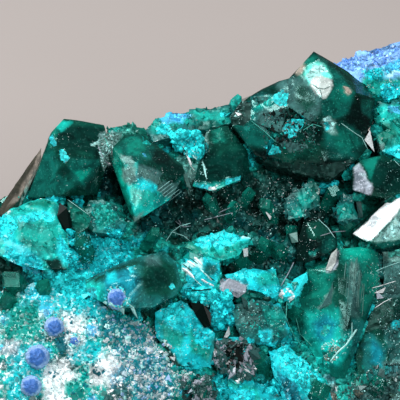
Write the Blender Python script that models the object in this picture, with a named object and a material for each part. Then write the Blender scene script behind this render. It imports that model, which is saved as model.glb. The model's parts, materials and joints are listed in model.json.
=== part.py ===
"""A hand specimen of dioptase: emerald green crystals crowded on a small crusted rock.

The specimen lies on its flat broken base. +X is to the viewer's right, +Y away from the
viewer and +Z up, with the origin under the middle of the base. Sizes in the tables below are
millimetres; MM turns them into Blender's metres.

The crystals that face the viewer are given by the corners of their faces as they are seen
from in front and above: how far across, how far up and how far back from the middle of the
view. seen() turns such a place into the specimen's frame. A table of corners is the convex
solid that they span, and a broken crystal has just the few corners that its faces need.
"""

import math
import random

import bmesh
import bpy
from mathutils import Matrix, Vector, noise

MM = 0.001
MERGE = 0.0000005

# Driving sizes, in millimetres
WIDTH = 50.0
DEPTH = 40.0
GAP = 0.3
VIEW_TILT = math.radians(28)
VIEW_DISTANCE = 170.0
VIEW_HEIGHT = 18.0

# The rock's top, as places (x, y, height) that its surface passes near
HILL_REACH = 3.3
HILL = [
    (1.6, 2.8, 15.6), (5.0, 5.3, 18.0), (-2.0, 1.4, 15.6), (-7.0, -0.1, 15.4), (-9.0, 2.4, 16.8),
    (-6.0, 8.3, 19.0), (-0.8, 10.3, 18.4), (-10.0, 9.8, 16.2), (8.0, 11.0, 20.0),
    (12.5, 12.5, 21.8), (16.5, 13.0, 22.2), (13.0, 4.9, 18.4), (16.0, 9.0, 19.4),
    (16.5, 2.6, 16.2), (11.0, 1.4, 15.2), (14.5, -0.9, 12.6), (16.0, -5.2, 7.4),
    (1.0, -2.1, 14.2), (4.0, -4.2, 11.6), (6.5, -5.1, 10.3), (2.0, -6.9, 9.6), (4.0, -8.6, 7.6),
    (8.0, -7.0, 8.0), (-12.0, -1.4, 15.2), (-9.0, -3.1, 13.8), (-5.0, -6.1, 13.0),
    (-11.0, -7.3, 12.6), (-13.0, -11.8, 9.4), (-6.0, -10.9, 10.0), (-2.0, -12.8, 7.6),
    (8.0, -11.3, 4.2), (-17.5, 4.0, 12.6), (-23.5, 2.0, 7.5), (-23.0, -8.0, 5.5),
    (-20.0, 12.0, 8.5), (20.0, 3.0, 13.0), (24.0, 0.0, 7.5), (23.0, 9.0, 12.5),
    (20.5, 13.5, 19.0), (22.0, -8.0, 5.5), (0.0, -19.0, 5.5), (12.0, -17.0, 4.0),
    (-14.0, -18.0, 6.0), (-4.0, 15.0, 14.5), (0.0, 19.0, 10.5), (-12.0, 17.0, 10.0),
    (9.0, 18.5, 14.0), (16.0, 19.0, 18.5), (13.0, 13.5, 24.2), (16.5, 13.5, 24.6),
    (15.0, 15.5, 23.0), (12.0, 10.5, 22.5),
]
# Rings of the rock's wall: the share of the height left, and the swelling from ring to ring
WALL = [(0.7, 1.02), (0.6, 0.99), (0.45, 1.015), (0.0, 0.93)]
PITS = [(-19.5, -1.0, 2.6, 1.8), (-1.5, -16.5, 2.4, 1.6), (19.5, -3.5, 2.2, 1.6), (3.0, 15.5, 2.8, 1.8)]

# Flat fractures round the rock's sides: (direction in degrees, tilt upward in degrees, bite)
FRACTURES = [
    (8, 12, 1.2), (38, 30, 1.6), (64, -6, 1.1), (92, 22, 1.5), (121, 6, 1.2), (148, 28, 1.7), (176, 4, 1.2),
    (203, 24, 1.5), (232, 10, 1.4), (262, 34, 1.5), (291, 14, 1.3), (322, 28, 1.6), (346, -8, 1.0),
]

# Least distance between the corners of a broken crystal's buried end
ROOT_SPACING = 1.5

# Dioptase: the slope of its end faces from the crystal's axis
END_SLOPE = math.tan(math.radians(51))

# The quartz crust at the front left, and the blue balls on it (across, up, radius)
DRUSE_AT = (-10.5, -12.0)
DRUSE_REACH = (8.6, 6.4)
DRUSE_THICK = 1.0
DRUSE_SUNK = 1.2
BALLS = [
    (-6.6, -7.9, 0.85), (-11.7, -10.2, 0.78), (-13.0, -12.6, 0.9), (-13.5, -14.9, 0.78),
    (-10.0, -11.3, 0.5),
]

# Small crystals that show between the large ones: (across, up, width, lean across, lean up)
SMALL_SEEN = [
    (-9.3, -4.0, 2.0, -0.3, 0.2), (-7.0, -2.6, 1.4, 0.4, 0.0), (-3.8, -3.0, 1.2, 0.5, 0.3),
    (5.4, -0.8, 1.5, -0.3, 0.5), (3.8, 0.2, 1.2, 0.4, 0.2), (7.5, -2.8, 1.2, -0.2, 0.6),
    (10.4, 0.2, 1.4, 0.3, 0.6), (11.9, -2.2, 1.5, -0.3, 0.1), (5.0, -4.0, 1.8, 0.2, 0.3),
    (6.5, -4.3, 1.6, -0.4, 0.1), (3.1, -5.1, 1.6, 0.5, -0.2), (-1.2, 1.4, 1.3, 0.3, 0.6),
    (0.9, -0.4, 1.3, -0.3, 0.5), (2.6, -0.9, 1.2, 0.3, 0.3), (-14.6, -7.0, 2.2, -0.3, 0.3),
    (-15.3, -8.4, 1.7, 0.3, 0.1), (-12.6, -7.4, 1.6, 0.4, 0.4), (7.4, -9.3, 1.7, 0.2, -0.2),
    (4.9, -13.2, 1.6, -0.4, 0.2), (-3.0, 4.9, 1.3, 0.3, 0.5), (-0.7, 2.9, 1.4, 0.5, 0.7),
    (-0.4, -9.2, 1.3, 0.2, 0.2), (9.3, -15.6, 2.0, 0.2, 0.0), (0.2, -15.4, 2.0, -0.2, 0.2),
    (14.2, -15.0, 1.6, 0.3, 0.1),
]
SMALL_CRYSTALS = 29
QUARTZ_GRAINS = 16


def seen(across, up, back):
    """Turn a place as the viewer sees it into the specimen's frame, in millimetres."""
    spread = 1 + back / VIEW_DISTANCE
    rise = up * spread
    y = rise * math.sin(VIEW_TILT) + back * math.cos(VIEW_TILT)
    z = VIEW_HEIGHT + rise * math.cos(VIEW_TILT) - back * math.sin(VIEW_TILT)
    return Vector((across * spread, y, z))


def hill(x, y):
    """Height of the rock's top before its roughness: a smooth blend of the places in HILL."""
    total = 0.0
    weight = 1e-9
    for near_x, near_y, height in HILL:
        away = (x - near_x) ** 2 + (y - near_y) ** 2
        share = math.exp(-away / (2 * HILL_REACH**2)) + 1e-7
        total += share * height
        weight += share
    return total / weight


def rough(x, y, z):
    """Lumps, ledges and pits of the broken rock, as a change of height."""
    lumps = 0.8 * noise.noise(Vector((x, y, z)) * 0.33) + 0.4 * noise.noise(Vector((x, y, z)) * 0.9)
    ledge = 0.35 * math.sin(2 * math.pi * (z + 0.25 * x) / 2.4)
    pits = 0.0
    for pit_x, pit_y, reach, deep in PITS:
        pits -= deep * math.exp(-((x - pit_x) ** 2 + (y - pit_y) ** 2) / (0.5 * reach**2))
    return lumps + ledge + pits


def on_hill(across, up, lift=0.0):
    """The place where a line of sight meets the hill, raised by lift."""
    back = -14.0
    while back < 20.0:
        place = seen(across, up, back)
        if place.z <= hill(place.x, place.y) + lift:
            return place
        back += 0.05
    return seen(across, up, 0.0)


def hill_normal(x, y):
    """The direction straight out of the hill."""
    step = 0.6
    slope_x = (hill(x + step, y) - hill(x - step, y)) / (2 * step)
    slope_y = (hill(x, y + step) - hill(x, y - step)) / (2 * step)
    return Vector((-slope_x, -slope_y, 1)).normalized()


def add_object(name, mesh, group):
    """Put a mesh in the scene under a name."""
    thing = bpy.data.objects.new(name, mesh)
    group.objects.link(thing)
    return thing


def span(name, points, group):
    """The convex solid that a set of points spans."""
    mesh = bpy.data.meshes.new(name)
    bm = bmesh.new()
    for point in points:
        bm.verts.new(point * MM)
    bmesh.ops.convex_hull(bm, input=bm.verts)
    inside = [vert for vert in bm.verts if not vert.link_faces]
    bmesh.ops.delete(bm, geom=inside, context="VERTS")
    bmesh.ops.dissolve_limit(bm, angle_limit=math.radians(0.5), verts=bm.verts, edges=bm.edges)
    bmesh.ops.recalc_face_normals(bm, faces=bm.faces)
    bm.to_mesh(mesh)
    bm.free()
    return add_object(name, mesh, group)


def spread_out(points, by):
    """Move points away from their middle, for the room left around a crystal."""
    middle = sum(points, Vector()) / len(points)
    return [point + (point - middle).normalized() * by for point in points]


def broken(corners, deep, narrow=0.8, dip=45):
    """Points of a crystal given by the corners of its seen faces, rooted back into the rock."""
    front = [seen(*corner) for corner in corners]
    middle = sum(front, Vector()) / len(front)
    into_rock = Vector((0, math.cos(math.radians(dip)), -math.sin(math.radians(dip))))
    rear = []
    for point in front:
        pushed = middle + (point - middle) * narrow + into_rock * deep
        if all((pushed - kept).length > ROOT_SPACING for kept in rear):
            rear.append(pushed)
    return front + rear


def grown(foot, axis, spin, across, length, flat=1.0, buried=1.0):
    """Points of a whole dioptase crystal: a six-sided prism under three rhomb-shaped faces."""
    radius = across / 2
    turn = axis.to_track_quat("Z", "Y").to_matrix() @ Matrix.Rotation(spin, 3, "Z")
    points = [foot + turn @ Vector((0, 0, length))]
    for corner in range(6):
        angle = math.pi * corner / 3
        drop = END_SLOPE * radius * (1.0 if corner % 2 == 0 else 0.5)
        side = Vector((radius * math.cos(angle), radius * flat * math.sin(angle), 0))
        points.append(foot + turn @ (side + Vector((0, 0, length - drop))))
        points.append(foot + turn @ (side * 0.9 - Vector((0, 0, buried))))
    return points


def left_crystal():
    upper_face = [(-12.0, 5.3, 3.2), (-10.9, 6.5, 4.2), (-9.9, 6.4, 4.4), (-7.7, 6.0, 4.4),
                  (-7.0, 4.4, 3.2)]
    ridge = [(-12.2, 4.6, 2.2), (-10.4, 3.2, 0.9), (-8.0, 2.8, 1.6)]
    foot = [(-13.8, 0.2, 2.2), (-11.2, 0.3, 0.5), (-10.0, 1.1, 0.3), (-8.2, 0.4, 1.6)]
    return [broken(upper_face + ridge + foot, 5.0, 0.72, 54)]


def smoky_plate():
    edge = [(-12.7, 4.2, 4.6), (-13.4, 3.0, 4.8), (-15.0, 0.2, 5.0), (-16.6, -1.4, 5.0)]
    face = [(-12.7, 3.3, 3.9), (-13.2, 2.0, 3.7), (-14.2, 0.6, 3.4), (-14.6, -1.0, 3.2)]
    return [broken(edge + face, 2.4)]


def centre_crystal():
    top_face = [(-6.0, 5.2, 3.2), (-4.7, 5.3, 3.5), (-3.4, 4.3, 3.4), (-2.2, 3.4, 3.1),
                (-1.4, 2.8, 2.8)]
    left_strip = [(-7.0, 4.2, 1.9), (-6.5, 4.7, 2.5), (-7.0, 2.8, 1.6), (-5.8, -0.6, 0.5)]
    front_face = [(-6.2, 3.0, 0.6), (-5.0, 3.0, 0.3), (-2.9, 1.4, 0.7), (-5.3, -1.0, -0.3)]
    lower_edge = [(-1.2, 2.1, 2.4), (-2.3, 0.1, 1.3), (-4.3, -1.2, 0.3), (-5.3, -1.8, 0.0)]
    return [broken(top_face + left_strip + front_face + lower_edge, 4.0)]


def pale_crystal():
    corners = [(-7.6, 5.9, 5.8), (-5.6, 6.1, 5.8), (-4.4, 5.8, 6.0), (-4.0, 4.4, 5.2), (-7.2, 3.9, 5.0)]
    return [broken(corners, 4.0, 0.7, 62)]


def back_ridge_crystals():
    blue_lump = [(-4.4, 5.6, 8.2), (-3.6, 6.6, 8.8), (-2.2, 7.1, 9.2), (-0.8, 7.0, 9.2),
                 (0.0, 6.0, 8.4), (-1.6, 5.2, 6.6), (-3.8, 4.6, 6.8)]
    cyan_lump = [(-2.4, 4.9, 4.8), (-1.5, 5.3, 5.0), (-0.2, 5.5, 5.2), (0.5, 4.5, 4.4), (0.3, 3.7, 3.8),
                 (-0.3, 3.2, 3.4), (-1.1, 3.8, 3.4), (-2.0, 4.2, 4.0)]
    teal_block = [(-0.8, 7.2, 8.6), (0.8, 7.3, 8.4), (2.4, 7.6, 8.2), (2.9, 6.2, 6.8), (0.6, 5.6, 6.0),
                  (-1.0, 5.6, 7.0)]
    return [broken(blue_lump, 4.2, 0.7, 66), broken(cyan_lump, 4.8), broken(teal_block, 4.2, 0.7, 66)]


def far_ridge_crystals():
    left = [(10.2, 10.9, 6.6), (11.6, 11.2, 6.6), (12.8, 11.9, 6.8), (13.8, 11.0, 5.8),
            (12.4, 9.2, 5.0), (10.6, 8.6, 5.6)]
    right = [(12.6, 11.7, 6.8), (14.2, 12.1, 7.0), (15.2, 12.3, 6.8), (16.2, 12.7, 7.0),
             (17.6, 12.0, 6.6), (17.8, 9.0, 5.0), (15.2, 8.0, 4.4), (12.8, 9.0, 4.8)]
    return [broken(right, 4.4, 0.7, 78), broken(left, 4.4, 0.7, 78)]


def right_ridge_crystals():
    upper = [(13.5, 8.3, 5.0), (14.8, 9.2, 5.4), (17.2, 9.6, 5.6), (17.9, 8.0, 4.8), (17.6, 5.8, 3.6),
             (15.2, 5.6, 3.2), (13.7, 6.6, 3.8), (15.6, 7.4, 3.6)]
    lower = [(14.0, 5.4, 3.4), (16.0, 6.0, 3.4), (17.8, 5.8, 3.4), (17.9, 3.6, 2.2), (16.0, 3.2, 1.9),
             (14.4, 3.9, 2.4), (15.6, 4.6, 2.3)]
    return [broken(upper, 4.8, 0.75, 58), broken(lower, 4.2, 0.75, 55)]


def valley_crystal():
    top = [(0.6, 5.8, 6.0), (2.8, 6.0, 6.0), (3.7, 4.6, 5.2)]
    foot = [(4.0, 2.2, 4.4), (3.2, 1.6, 3.6), (1.0, 0.7, 3.2), (-0.6, 1.1, 3.4), (-0.1, 3.0, 4.2)]
    return [broken(top + foot, 3.4)]


def peak_crystals():
    apex = [(9.1, 11.9, 4.4), (8.3, 10.6, 3.4), (9.6, 11.3, 3.6), (10.8, 10.3, 3.2), (10.8, 9.6, 2.6),
            (9.8, 8.0, 1.5), (12.5, 8.6, 2.5), (11.9, 7.6, 2.1), (11.5, 6.5, 1.8), (10.1, 6.3, 1.1),
            (11.8, 10.3, 4.2), (13.0, 9.3, 4.4), (14.0, 8.1, 4.0), (13.8, 6.2, 3.6), (13.3, 5.3, 3.0),
            (7.1, 9.7, 3.8), (7.0, 7.5, 2.9), (8.2, 6.8, 2.0), (9.0, 6.2, 1.4)]
    body = [(9.0, 6.1, 1.3), (7.0, 6.6, 2.4), (6.1, 4.6, 2.3), (5.0, 3.0, 3.4), (7.6, 2.2, 2.0),
            (10.4, 1.6, 0.9), (12.8, 3.4, 1.8), (13.4, 4.2, 2.4), (13.2, 5.3, 2.6), (11.6, 6.4, 1.7),
            (9.6, 4.2, 0.6)]
    shoulder = [(4.0, 8.3, 4.8), (5.0, 8.9, 5.2), (6.3, 9.5, 5.2), (7.4, 9.8, 4.8), (5.9, 8.2, 3.7),
                (5.6, 7.0, 3.2), (4.4, 6.2, 3.7), (7.2, 7.6, 2.9), (6.4, 5.4, 2.5)]
    left_end = [(2.4, 6.7, 4.4), (3.3, 7.9, 4.8), (4.0, 8.0, 4.6), (4.2, 6.4, 3.8), (5.6, 5.2, 3.1),
                (5.2, 3.2, 3.6), (4.4, 3.6, 3.9), (2.6, 5.9, 4.3)]
    return [broken(apex, 6.0), broken(body, 6.0), broken(shoulder, 5.4), broken(left_end, 4.8)]


def middle_crystal():
    top = [(6.6, 0.2, 1.7), (8.0, 1.3, 2.1), (9.4, 1.7, 1.9)]
    front = [(8.3, 0.2, 0.9), (9.6, -0.5, 0.9), (8.4, -1.3, 0.7), (7.1, -1.5, 1.1)]
    return [broken(top + front, 3.2)]


def pale_faced_crystal():
    pale_face = [(12.2, 2.6, 1.5), (12.9, 3.2, 1.5), (13.8, 1.0, 0.3), (13.6, 0.4, 0.5),
                 (12.2, 0.8, 1.0)]
    green_face = [(14.6, 3.6, 2.0), (16.2, 3.1, 2.2), (16.8, 0.9, 1.4), (15.0, 0.1, 0.7)]
    return [broken(pale_face + green_face, 4.0)]


def small_teal_crystal():
    corners = [(10.8, -0.7, 1.4), (11.5, 0.3, 1.6), (12.2, 0.4, 1.4), (12.6, -1.5, 0.7),
               (11.0, -1.8, 0.5), (11.8, -0.5, 0.6)]
    return [broken(corners, 3.4)]


def bright_crystal():
    mirror_face = [(12.2, -2.7, 0.9), (15.1, 0.0, 1.2), (15.8, 0.3, 1.2), (16.0, -0.4, 0.7),
                   (15.3, -1.7, 0.0), (13.6, -3.3, -0.5), (13.3, -3.3, -0.4)]
    far_face = [(17.6, 0.0, 1.6), (17.8, -3.0, 0.2), (14.6, -3.9, -0.2)]
    return [broken(mirror_face + far_face, 3.6)]


def dark_crystal():
    outline = [(8.4, -1.4, 1.2), (9.6, -1.4, 1.0), (10.9, -2.7, 0.5), (11.0, -3.7, 0.2),
               (10.2, -4.3, -0.4), (8.6, -5.0, -0.4), (7.7, -4.9, 0.1), (7.8, -3.3, 0.3)]
    nearest = [(9.3, -3.0, -0.5)]
    return [broken(outline + nearest, 3.6)]


def upright_crystal():
    top = [(8.6, -5.5, 0.0), (10.0, -4.7, 0.2), (11.3, -3.9, 0.4), (14.2, -3.6, 0.8)]
    left_face = [(7.0, -8.2, -0.2), (8.5, -11.5, -1.0), (10.2, -14.1, -1.8), (10.2, -5.7, -1.0)]
    front_edge = [(11.0, -5.6, -1.3), (11.3, -12.6, -2.7), (11.6, -14.3, -2.4)]
    right_face = [(14.4, -6.6, 0.2), (13.6, -7.8, -0.3), (12.2, -10.4, -1.3), (12.6, -6.4, -1.2)]
    return [broken(top + left_face + front_edge + right_face, 4.4)]


def right_edge_crystals():
    upper = [(14.6, -3.8, 1.0), (17.6, -3.7, 1.2), (18.2, -7.6, 0.0), (14.7, -7.4, -0.2),
             (16.0, -5.8, -0.9)]
    lower = [(14.2, -7.0, 0.2), (17.8, -7.2, 0.2), (18.2, -13.4, -1.4), (15.0, -13.2, -1.8),
             (13.0, -10.2, -1.0), (15.2, -9.4, -1.5)]
    blue_face = [(13.4, -10.0, -0.8), (14.9, -13.0, -1.9), (12.7, -14.2, -2.4), (12.3, -11.6, -1.6),
                 (14.6, -14.6, -2.5)]
    return [broken(lower, 4.0), broken(upper, 3.6), broken(blue_face, 3.6)]


def left_cyan_crystal():
    top_face = [(-15.2, -0.7, 0.4), (-13.0, 0.2, 1.2), (-11.5, 0.3, 1.0), (-11.2, -0.4, 0.3),
                (-11.6, -1.3, -0.8), (-14.0, -1.2, -1.0), (-16.8, -2.0, 0.0)]
    body = [(-17.2, -3.8, -1.2), (-14.4, -5.3, -2.8), (-12.4, -5.6, -3.0), (-10.3, -5.5, -2.4),
            (-10.3, -4.0, -1.8), (-10.9, -2.6, -1.0)]
    return [broken(top_face + body, 3.6)]


def left_small_crystals():
    wedge = [(-10.7, 0.0, 0.8), (-10.0, -0.2, 0.5), (-8.6, -1.4, -0.1), (-8.9, -2.2, -0.7),
             (-10.0, -3.0, -1.0), (-10.5, -0.9, -0.4)]
    teal = [(-8.9, 0.1, 1.3), (-7.2, 0.1, 1.1), (-5.9, -1.9, 0.2), (-6.4, -2.9, -0.7),
            (-8.6, -2.6, -0.6), (-7.6, -0.9, -0.2), (-9.4, -1.6, 0.2)]
    cyan_tip = [(-9.7, -3.0, -1.0), (-8.0, -3.2, -1.2), (-6.9, -4.0, -1.6), (-5.8, -5.0, -2.0),
                (-7.4, -5.4, -2.6), (-9.5, -5.2, -2.3)]
    return [broken(teal, 3.6), broken(wedge, 3.6), broken(cyan_tip, 3.6)]


def near_crystal():
    crown = [(-9.2, -6.4, -4.2), (-7.0, -5.3, -4.0), (-4.8, -4.5, -4.0), (-2.8, -4.1, -3.8),
             (-1.9, -5.0, -4.2)]
    front = [(-1.5, -6.6, -4.9), (-1.9, -7.6, -5.5), (-3.8, -8.6, -6.3), (-6.8, -8.6, -6.5),
             (-4.6, -6.2, -5.8), (-7.4, -6.8, -5.8), (-9.0, -7.6, -5.4)]
    return [broken(crown + front, 4.6)]


def front_crystals():
    pale_top = [(-1.0, -3.5, -0.5), (0.0, -2.8, 0.1), (1.9, -2.3, 0.5), (4.2, -3.0, 0.2),
                (3.2, -4.4, -1.3), (1.8, -4.9, -1.9), (0.4, -4.3, -1.8), (-0.9, -4.6, -1.2)]
    striped = [(-1.5, -5.0, -2.1), (0.1, -4.3, -1.9), (1.7, -4.9, -2.0), (1.8, -5.7, -2.4),
               (1.3, -7.2, -3.2), (-1.4, -7.1, -3.2), (0.1, -6.0, -3.4)]
    return [broken(pale_top, 3.8), broken(striped, 3.6)]


def plate_crystal():
    plate = [(2.0, -6.0, -2.0), (3.6, -5.4, -1.6), (6.1, -5.5, -1.1), (6.5, -7.0, -1.7),
             (6.1, -7.9, -2.4), (4.6, -7.3, -2.8), (2.4, -6.7, -2.5)]
    grey_face = [(1.7, -6.2, -2.7), (3.6, -6.7, -2.8), (3.7, -7.4, -3.2), (3.0, -7.8, -3.4),
                 (1.6, -7.1, -3.4)]
    return [broken(plate, 3.2), broken(grey_face, 3.0)]


def cyan_chip():
    chip = [(6.9, -7.0, -1.3), (8.6, -5.8, -0.7), (8.5, -6.6, -0.9), (7.8, -7.6, -1.4),
            (7.0, -8.0, -1.7), (6.6, -7.5, -1.8)]
    return [broken(chip, 2.4)]


def lower_crystals():
    upper = [(-1.4, -7.4, -3.4), (2.0, -7.5, -3.2), (2.4, -8.8, -3.6), (1.8, -10.4, -4.0),
             (0.9, -9.4, -4.2), (-0.9, -8.2, -4.1)]
    left = [(-3.6, -8.4, -4.8), (-1.4, -8.0, -4.4), (-0.9, -8.5, -4.5), (-0.2, -9.8, -4.8),
            (1.2, -10.7, -4.6), (1.0, -13.6, -5.4), (-1.9, -13.3, -5.9), (-3.6, -10.7, -5.6),
            (-2.2, -9.7, -5.7), (-0.6, -12.0, -6.1)]
    druse_block = [(1.1, -11.0, -4.0), (4.3, -11.0, -3.6), (4.5, -13.8, -4.6), (2.9, -14.8, -5.2),
                   (1.1, -13.2, -5.1), (2.8, -12.4, -5.0)]
    textured = [(2.2, -8.2, -3.2), (4.6, -7.9, -2.9), (6.4, -8.3, -2.4), (7.2, -10.4, -2.8),
                (6.0, -11.8, -3.6), (3.4, -11.2, -3.8), (4.8, -9.8, -3.8)]
    low_tip = [(2.2, -14.4, -4.8), (4.6, -14.4, -4.4), (6.2, -15.4, -4.8), (6.6, -18.0, -5.8),
               (2.0, -18.0, -6.4), (3.8, -16.2, -5.9)]
    return [broken(left, 4.4), broken(upper, 3.8), broken(druse_block, 4.0), broken(textured, 3.8),
            broken(low_tip, 4.0)]


def diagonal_crystal():
    ridge = [(6.6, -11.0, -2.8), (8.4, -12.7, -2.8), (10.3, -14.6, -2.9), (11.0, -17.6, -3.9)]
    face = [(7.2, -17.0, -5.0), (5.5, -13.4, -4.2), (5.4, -12.0, -3.6), (7.6, -13.8, -4.8)]
    return [broken(ridge + face, 4.0)]


def lower_right_block():
    top = [(10.8, -14.8, -2.9), (12.6, -14.6, -2.8), (16.5, -13.8, -2.0)]
    face = [(17.6, -17.5, -3.2), (11.4, -18.4, -4.4), (13.5, -15.8, -3.8)]
    return [broken(top + face, 4.0)]


def cluster(x, y, sizes, lean=(0, 0, 0), seed=1):
    """A few whole crystals that share a foot on the hill and fan out from it."""
    draw = random.Random(seed)
    foot = Vector((x, y, hill(x, y) - 1.2))
    solids = []
    for number, (across, length) in enumerate(sizes):
        angle = 2 * math.pi * number / len(sizes) + draw.uniform(-0.4, 0.4)
        side = Vector((math.cos(angle), math.sin(angle), 0)) * (0.0 if number == 0 else 1.0)
        axis = (hill_normal(x, y) + side * 0.42 + Vector(lean)).normalized()
        place = foot + side * across * 0.45
        spin = draw.uniform(0, math.pi / 3)
        flat = draw.uniform(0.75, 1.0)
        solids.append(grown(place, axis, spin, across, length, flat, 1.6))
    return solids


CLUSTERS = {
    "left_cluster": (-20.6, 4.6, [(5.0, 5.0), (3.8, 4.2), (3.6, 3.8)], (-0.4, 0.0, 0), 11),
    "left_front_cluster": (-19.8, -5.2, [(4.8, 5.4), (3.6, 4.4), (3.8, 4.0)], (-0.2, -0.1, 0), 12),
    "left_rear_cluster": (-9.8, 14.2, [(5.2, 4.6), (4.0, 4.0), (3.8, 3.6)], (0, 0.6, 0), 13),
    "rear_cluster": (-2.2, 15.2, [(5.0, 4.2), (4.2, 3.8), (3.8, 3.6)], (0, 0.8, 0), 14),
    "right_rear_cluster": (5.0, 14.6, [(4.8, 4.4), (3.8, 3.8), (3.6, 3.6)], (0, 0.8, 0), 15),
    "right_outer_cluster": (20.0, 5.5, [(5.6, 6.0), (4.4, 5.0), (3.8, 4.4), (3.6, 3.8)], (0.2, 0, 0), 16),
    "right_front_cluster": (18.6, -8.6, [(4.6, 5.2), (3.6, 4.2), (3.4, 3.6)], (0.3, -0.2, 0), 17),
    "front_cluster": (9.3, -14.8, [(4.4, 4.6), (3.4, 3.8), (3.2, 3.4)], (0.1, -0.3, 0), 18),
}

# Each group of joined crystals: its name, its maker and its colour, in the order in which a
# crystal keeps its full shape where two groups would touch
GROUPS = [
    ("peak_crystals", peak_crystals, "emerald"),
    ("centre_crystal", centre_crystal, "emerald"),
    ("left_crystal", left_crystal, "emerald"),
    ("smoky_plate", smoky_plate, "smoky"),
    ("pale_crystal", pale_crystal, "teal"),
    ("back_ridge_crystals", back_ridge_crystals, "teal"),
    ("far_ridge_crystals", far_ridge_crystals, "teal"),
    ("right_ridge_crystals", right_ridge_crystals, "teal"),
    ("valley_crystal", valley_crystal, "emerald"),
    ("pale_faced_crystal", pale_faced_crystal, "emerald"),
    ("bright_crystal", bright_crystal, "emerald"),
    ("small_teal_crystal", small_teal_crystal, "teal"),
    ("dark_crystal", dark_crystal, "emerald"),
    ("upright_crystal", upright_crystal, "emerald"),
    ("middle_crystal", middle_crystal, "teal"),
    ("right_edge_crystals", right_edge_crystals, "emerald"),
    ("left_cyan_crystal", left_cyan_crystal, "teal"),
    ("left_small_crystals", left_small_crystals, "teal"),
    ("near_crystal", near_crystal, "emerald"),
    ("front_crystals", front_crystals, "teal"),
    ("plate_crystal", plate_crystal, "teal"),
    ("cyan_chip", cyan_chip, "teal"),
    ("lower_crystals", lower_crystals, "teal"),
    ("diagonal_crystal", diagonal_crystal, "teal"),
    ("lower_right_block", lower_right_block, "teal"),
]

# Plain colours, roughness and see-through share of each finish
FINISHES = {
    "emerald": ((0.01, 0.22, 0.15), 0.12, 0.8),
    "teal": ((0.03, 0.45, 0.42), 0.25, 0.5),
    "smoky": ((0.22, 0.2, 0.16), 0.3, 0.5),
    "crusted rock": ((0.05, 0.42, 0.42), 0.8, 0.0),
    "quartz": ((0.72, 0.78, 0.82), 0.35, 0.0),
}


def finish(thing, name):
    """Give a piece its own plain material."""
    colour, roughness, clear = FINISHES[name]
    material = bpy.data.materials.new(thing.name + " " + name)
    material.use_nodes = True
    shader = material.node_tree.nodes["Principled BSDF"]
    shader.inputs["Base Color"].default_value = (*colour, 1)
    shader.inputs["Roughness"].default_value = roughness
    shader.inputs["Metallic"].default_value = 0.0
    shader.inputs["Transmission Weight"].default_value = clear
    thing.data.materials.clear()
    thing.data.materials.append(material)


def tidy_mesh(mesh):
    """Keep the largest closed body of a mesh, in clean triangles."""
    bm = bmesh.new()
    bm.from_mesh(mesh)
    bmesh.ops.remove_doubles(bm, verts=bm.verts, dist=MERGE)
    bmesh.ops.dissolve_degenerate(bm, edges=bm.edges, dist=MERGE)
    bmesh.ops.dissolve_limit(bm, angle_limit=math.radians(1.5), verts=bm.verts, edges=bm.edges)
    bmesh.ops.triangulate(bm, faces=bm.faces)
    islands = []
    left = set(bm.faces)
    while left:
        island = set()
        waiting = [left.pop()]
        while waiting:
            face = waiting.pop()
            island.add(face)
            for edge in face.edges:
                for other in edge.link_faces:
                    if other in left:
                        left.remove(other)
                        waiting.append(other)
        islands.append(island)
    largest = max(islands, key=lambda island: sum(face.calc_area() for face in island))
    strays = [face for face in bm.faces if face not in largest]
    bmesh.ops.delete(bm, geom=strays, context="FACES")
    bm.to_mesh(mesh)
    bm.free()


def combine(thing, others, operation):
    """Join an object with others, or cut them out of it, and remove the others."""
    for other in others:
        step = thing.modifiers.new(operation.lower(), "BOOLEAN")
        step.operation = operation
        step.solver = "EXACT"
        step.object = other
    graph = bpy.context.evaluated_depsgraph_get()
    graph.update()
    old = thing.data
    thing.data = bpy.data.meshes.new_from_object(thing.evaluated_get(graph))
    thing.modifiers.clear()
    bpy.data.meshes.remove(old)
    for other in others:
        bpy.data.objects.remove(other)
    tidy_mesh(thing.data)


def near_box(points, others):
    """True where two sets of points have boxes that meet."""
    for axis in range(3):
        if min(p[axis] for p in points) > max(q[axis] for q in others):
            return False
        if max(p[axis] for p in points) < min(q[axis] for q in others):
            return False
    return True


def crystal_group(name, solids, colour, placed, parts, cutters):
    """Join a group's crystals in one solid that keeps clear of the crystals already placed."""
    thing = span(name, solids[0], parts)
    joined = [span("join", solid, cutters) for solid in solids[1:]]
    combine(thing, joined, "UNION")
    every = [point for solid in solids for point in solid]
    room = [span("room", taken, cutters) for taken in placed if near_box(every, taken)]
    if room:
        combine(thing, room, "DIFFERENCE")
    finish(thing, colour)


def place_crystals(parts, cutters):
    """Model every group of crystals, and return the room that each crystal needs."""
    groups = [(name, maker(), colour) for name, maker, colour in GROUPS]
    groups += [(name, cluster(*place), "emerald") for name, place in CLUSTERS.items()]
    placed = []
    for name, solids, colour in groups:
        crystal_group(name, solids, colour, placed, parts, cutters)
        placed.extend(spread_out(solid, GAP * 1.4) for solid in solids)
    return placed


def rim_shape(u, v):
    """Map a square from -1 to 1 onto the rock's rounded, slightly uneven outline."""
    x = u * math.sqrt(1 - 0.36 * v * v)
    y = v * math.sqrt(1 - 0.36 * u * u)
    angle = math.atan2(y, x)
    uneven = 1 + 0.045 * math.sin(3 * angle + 0.6) + 0.03 * math.sin(5 * angle + 2.0)
    uneven += 0.02 * math.sin(9 * angle)
    return x * uneven, y * uneven


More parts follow.
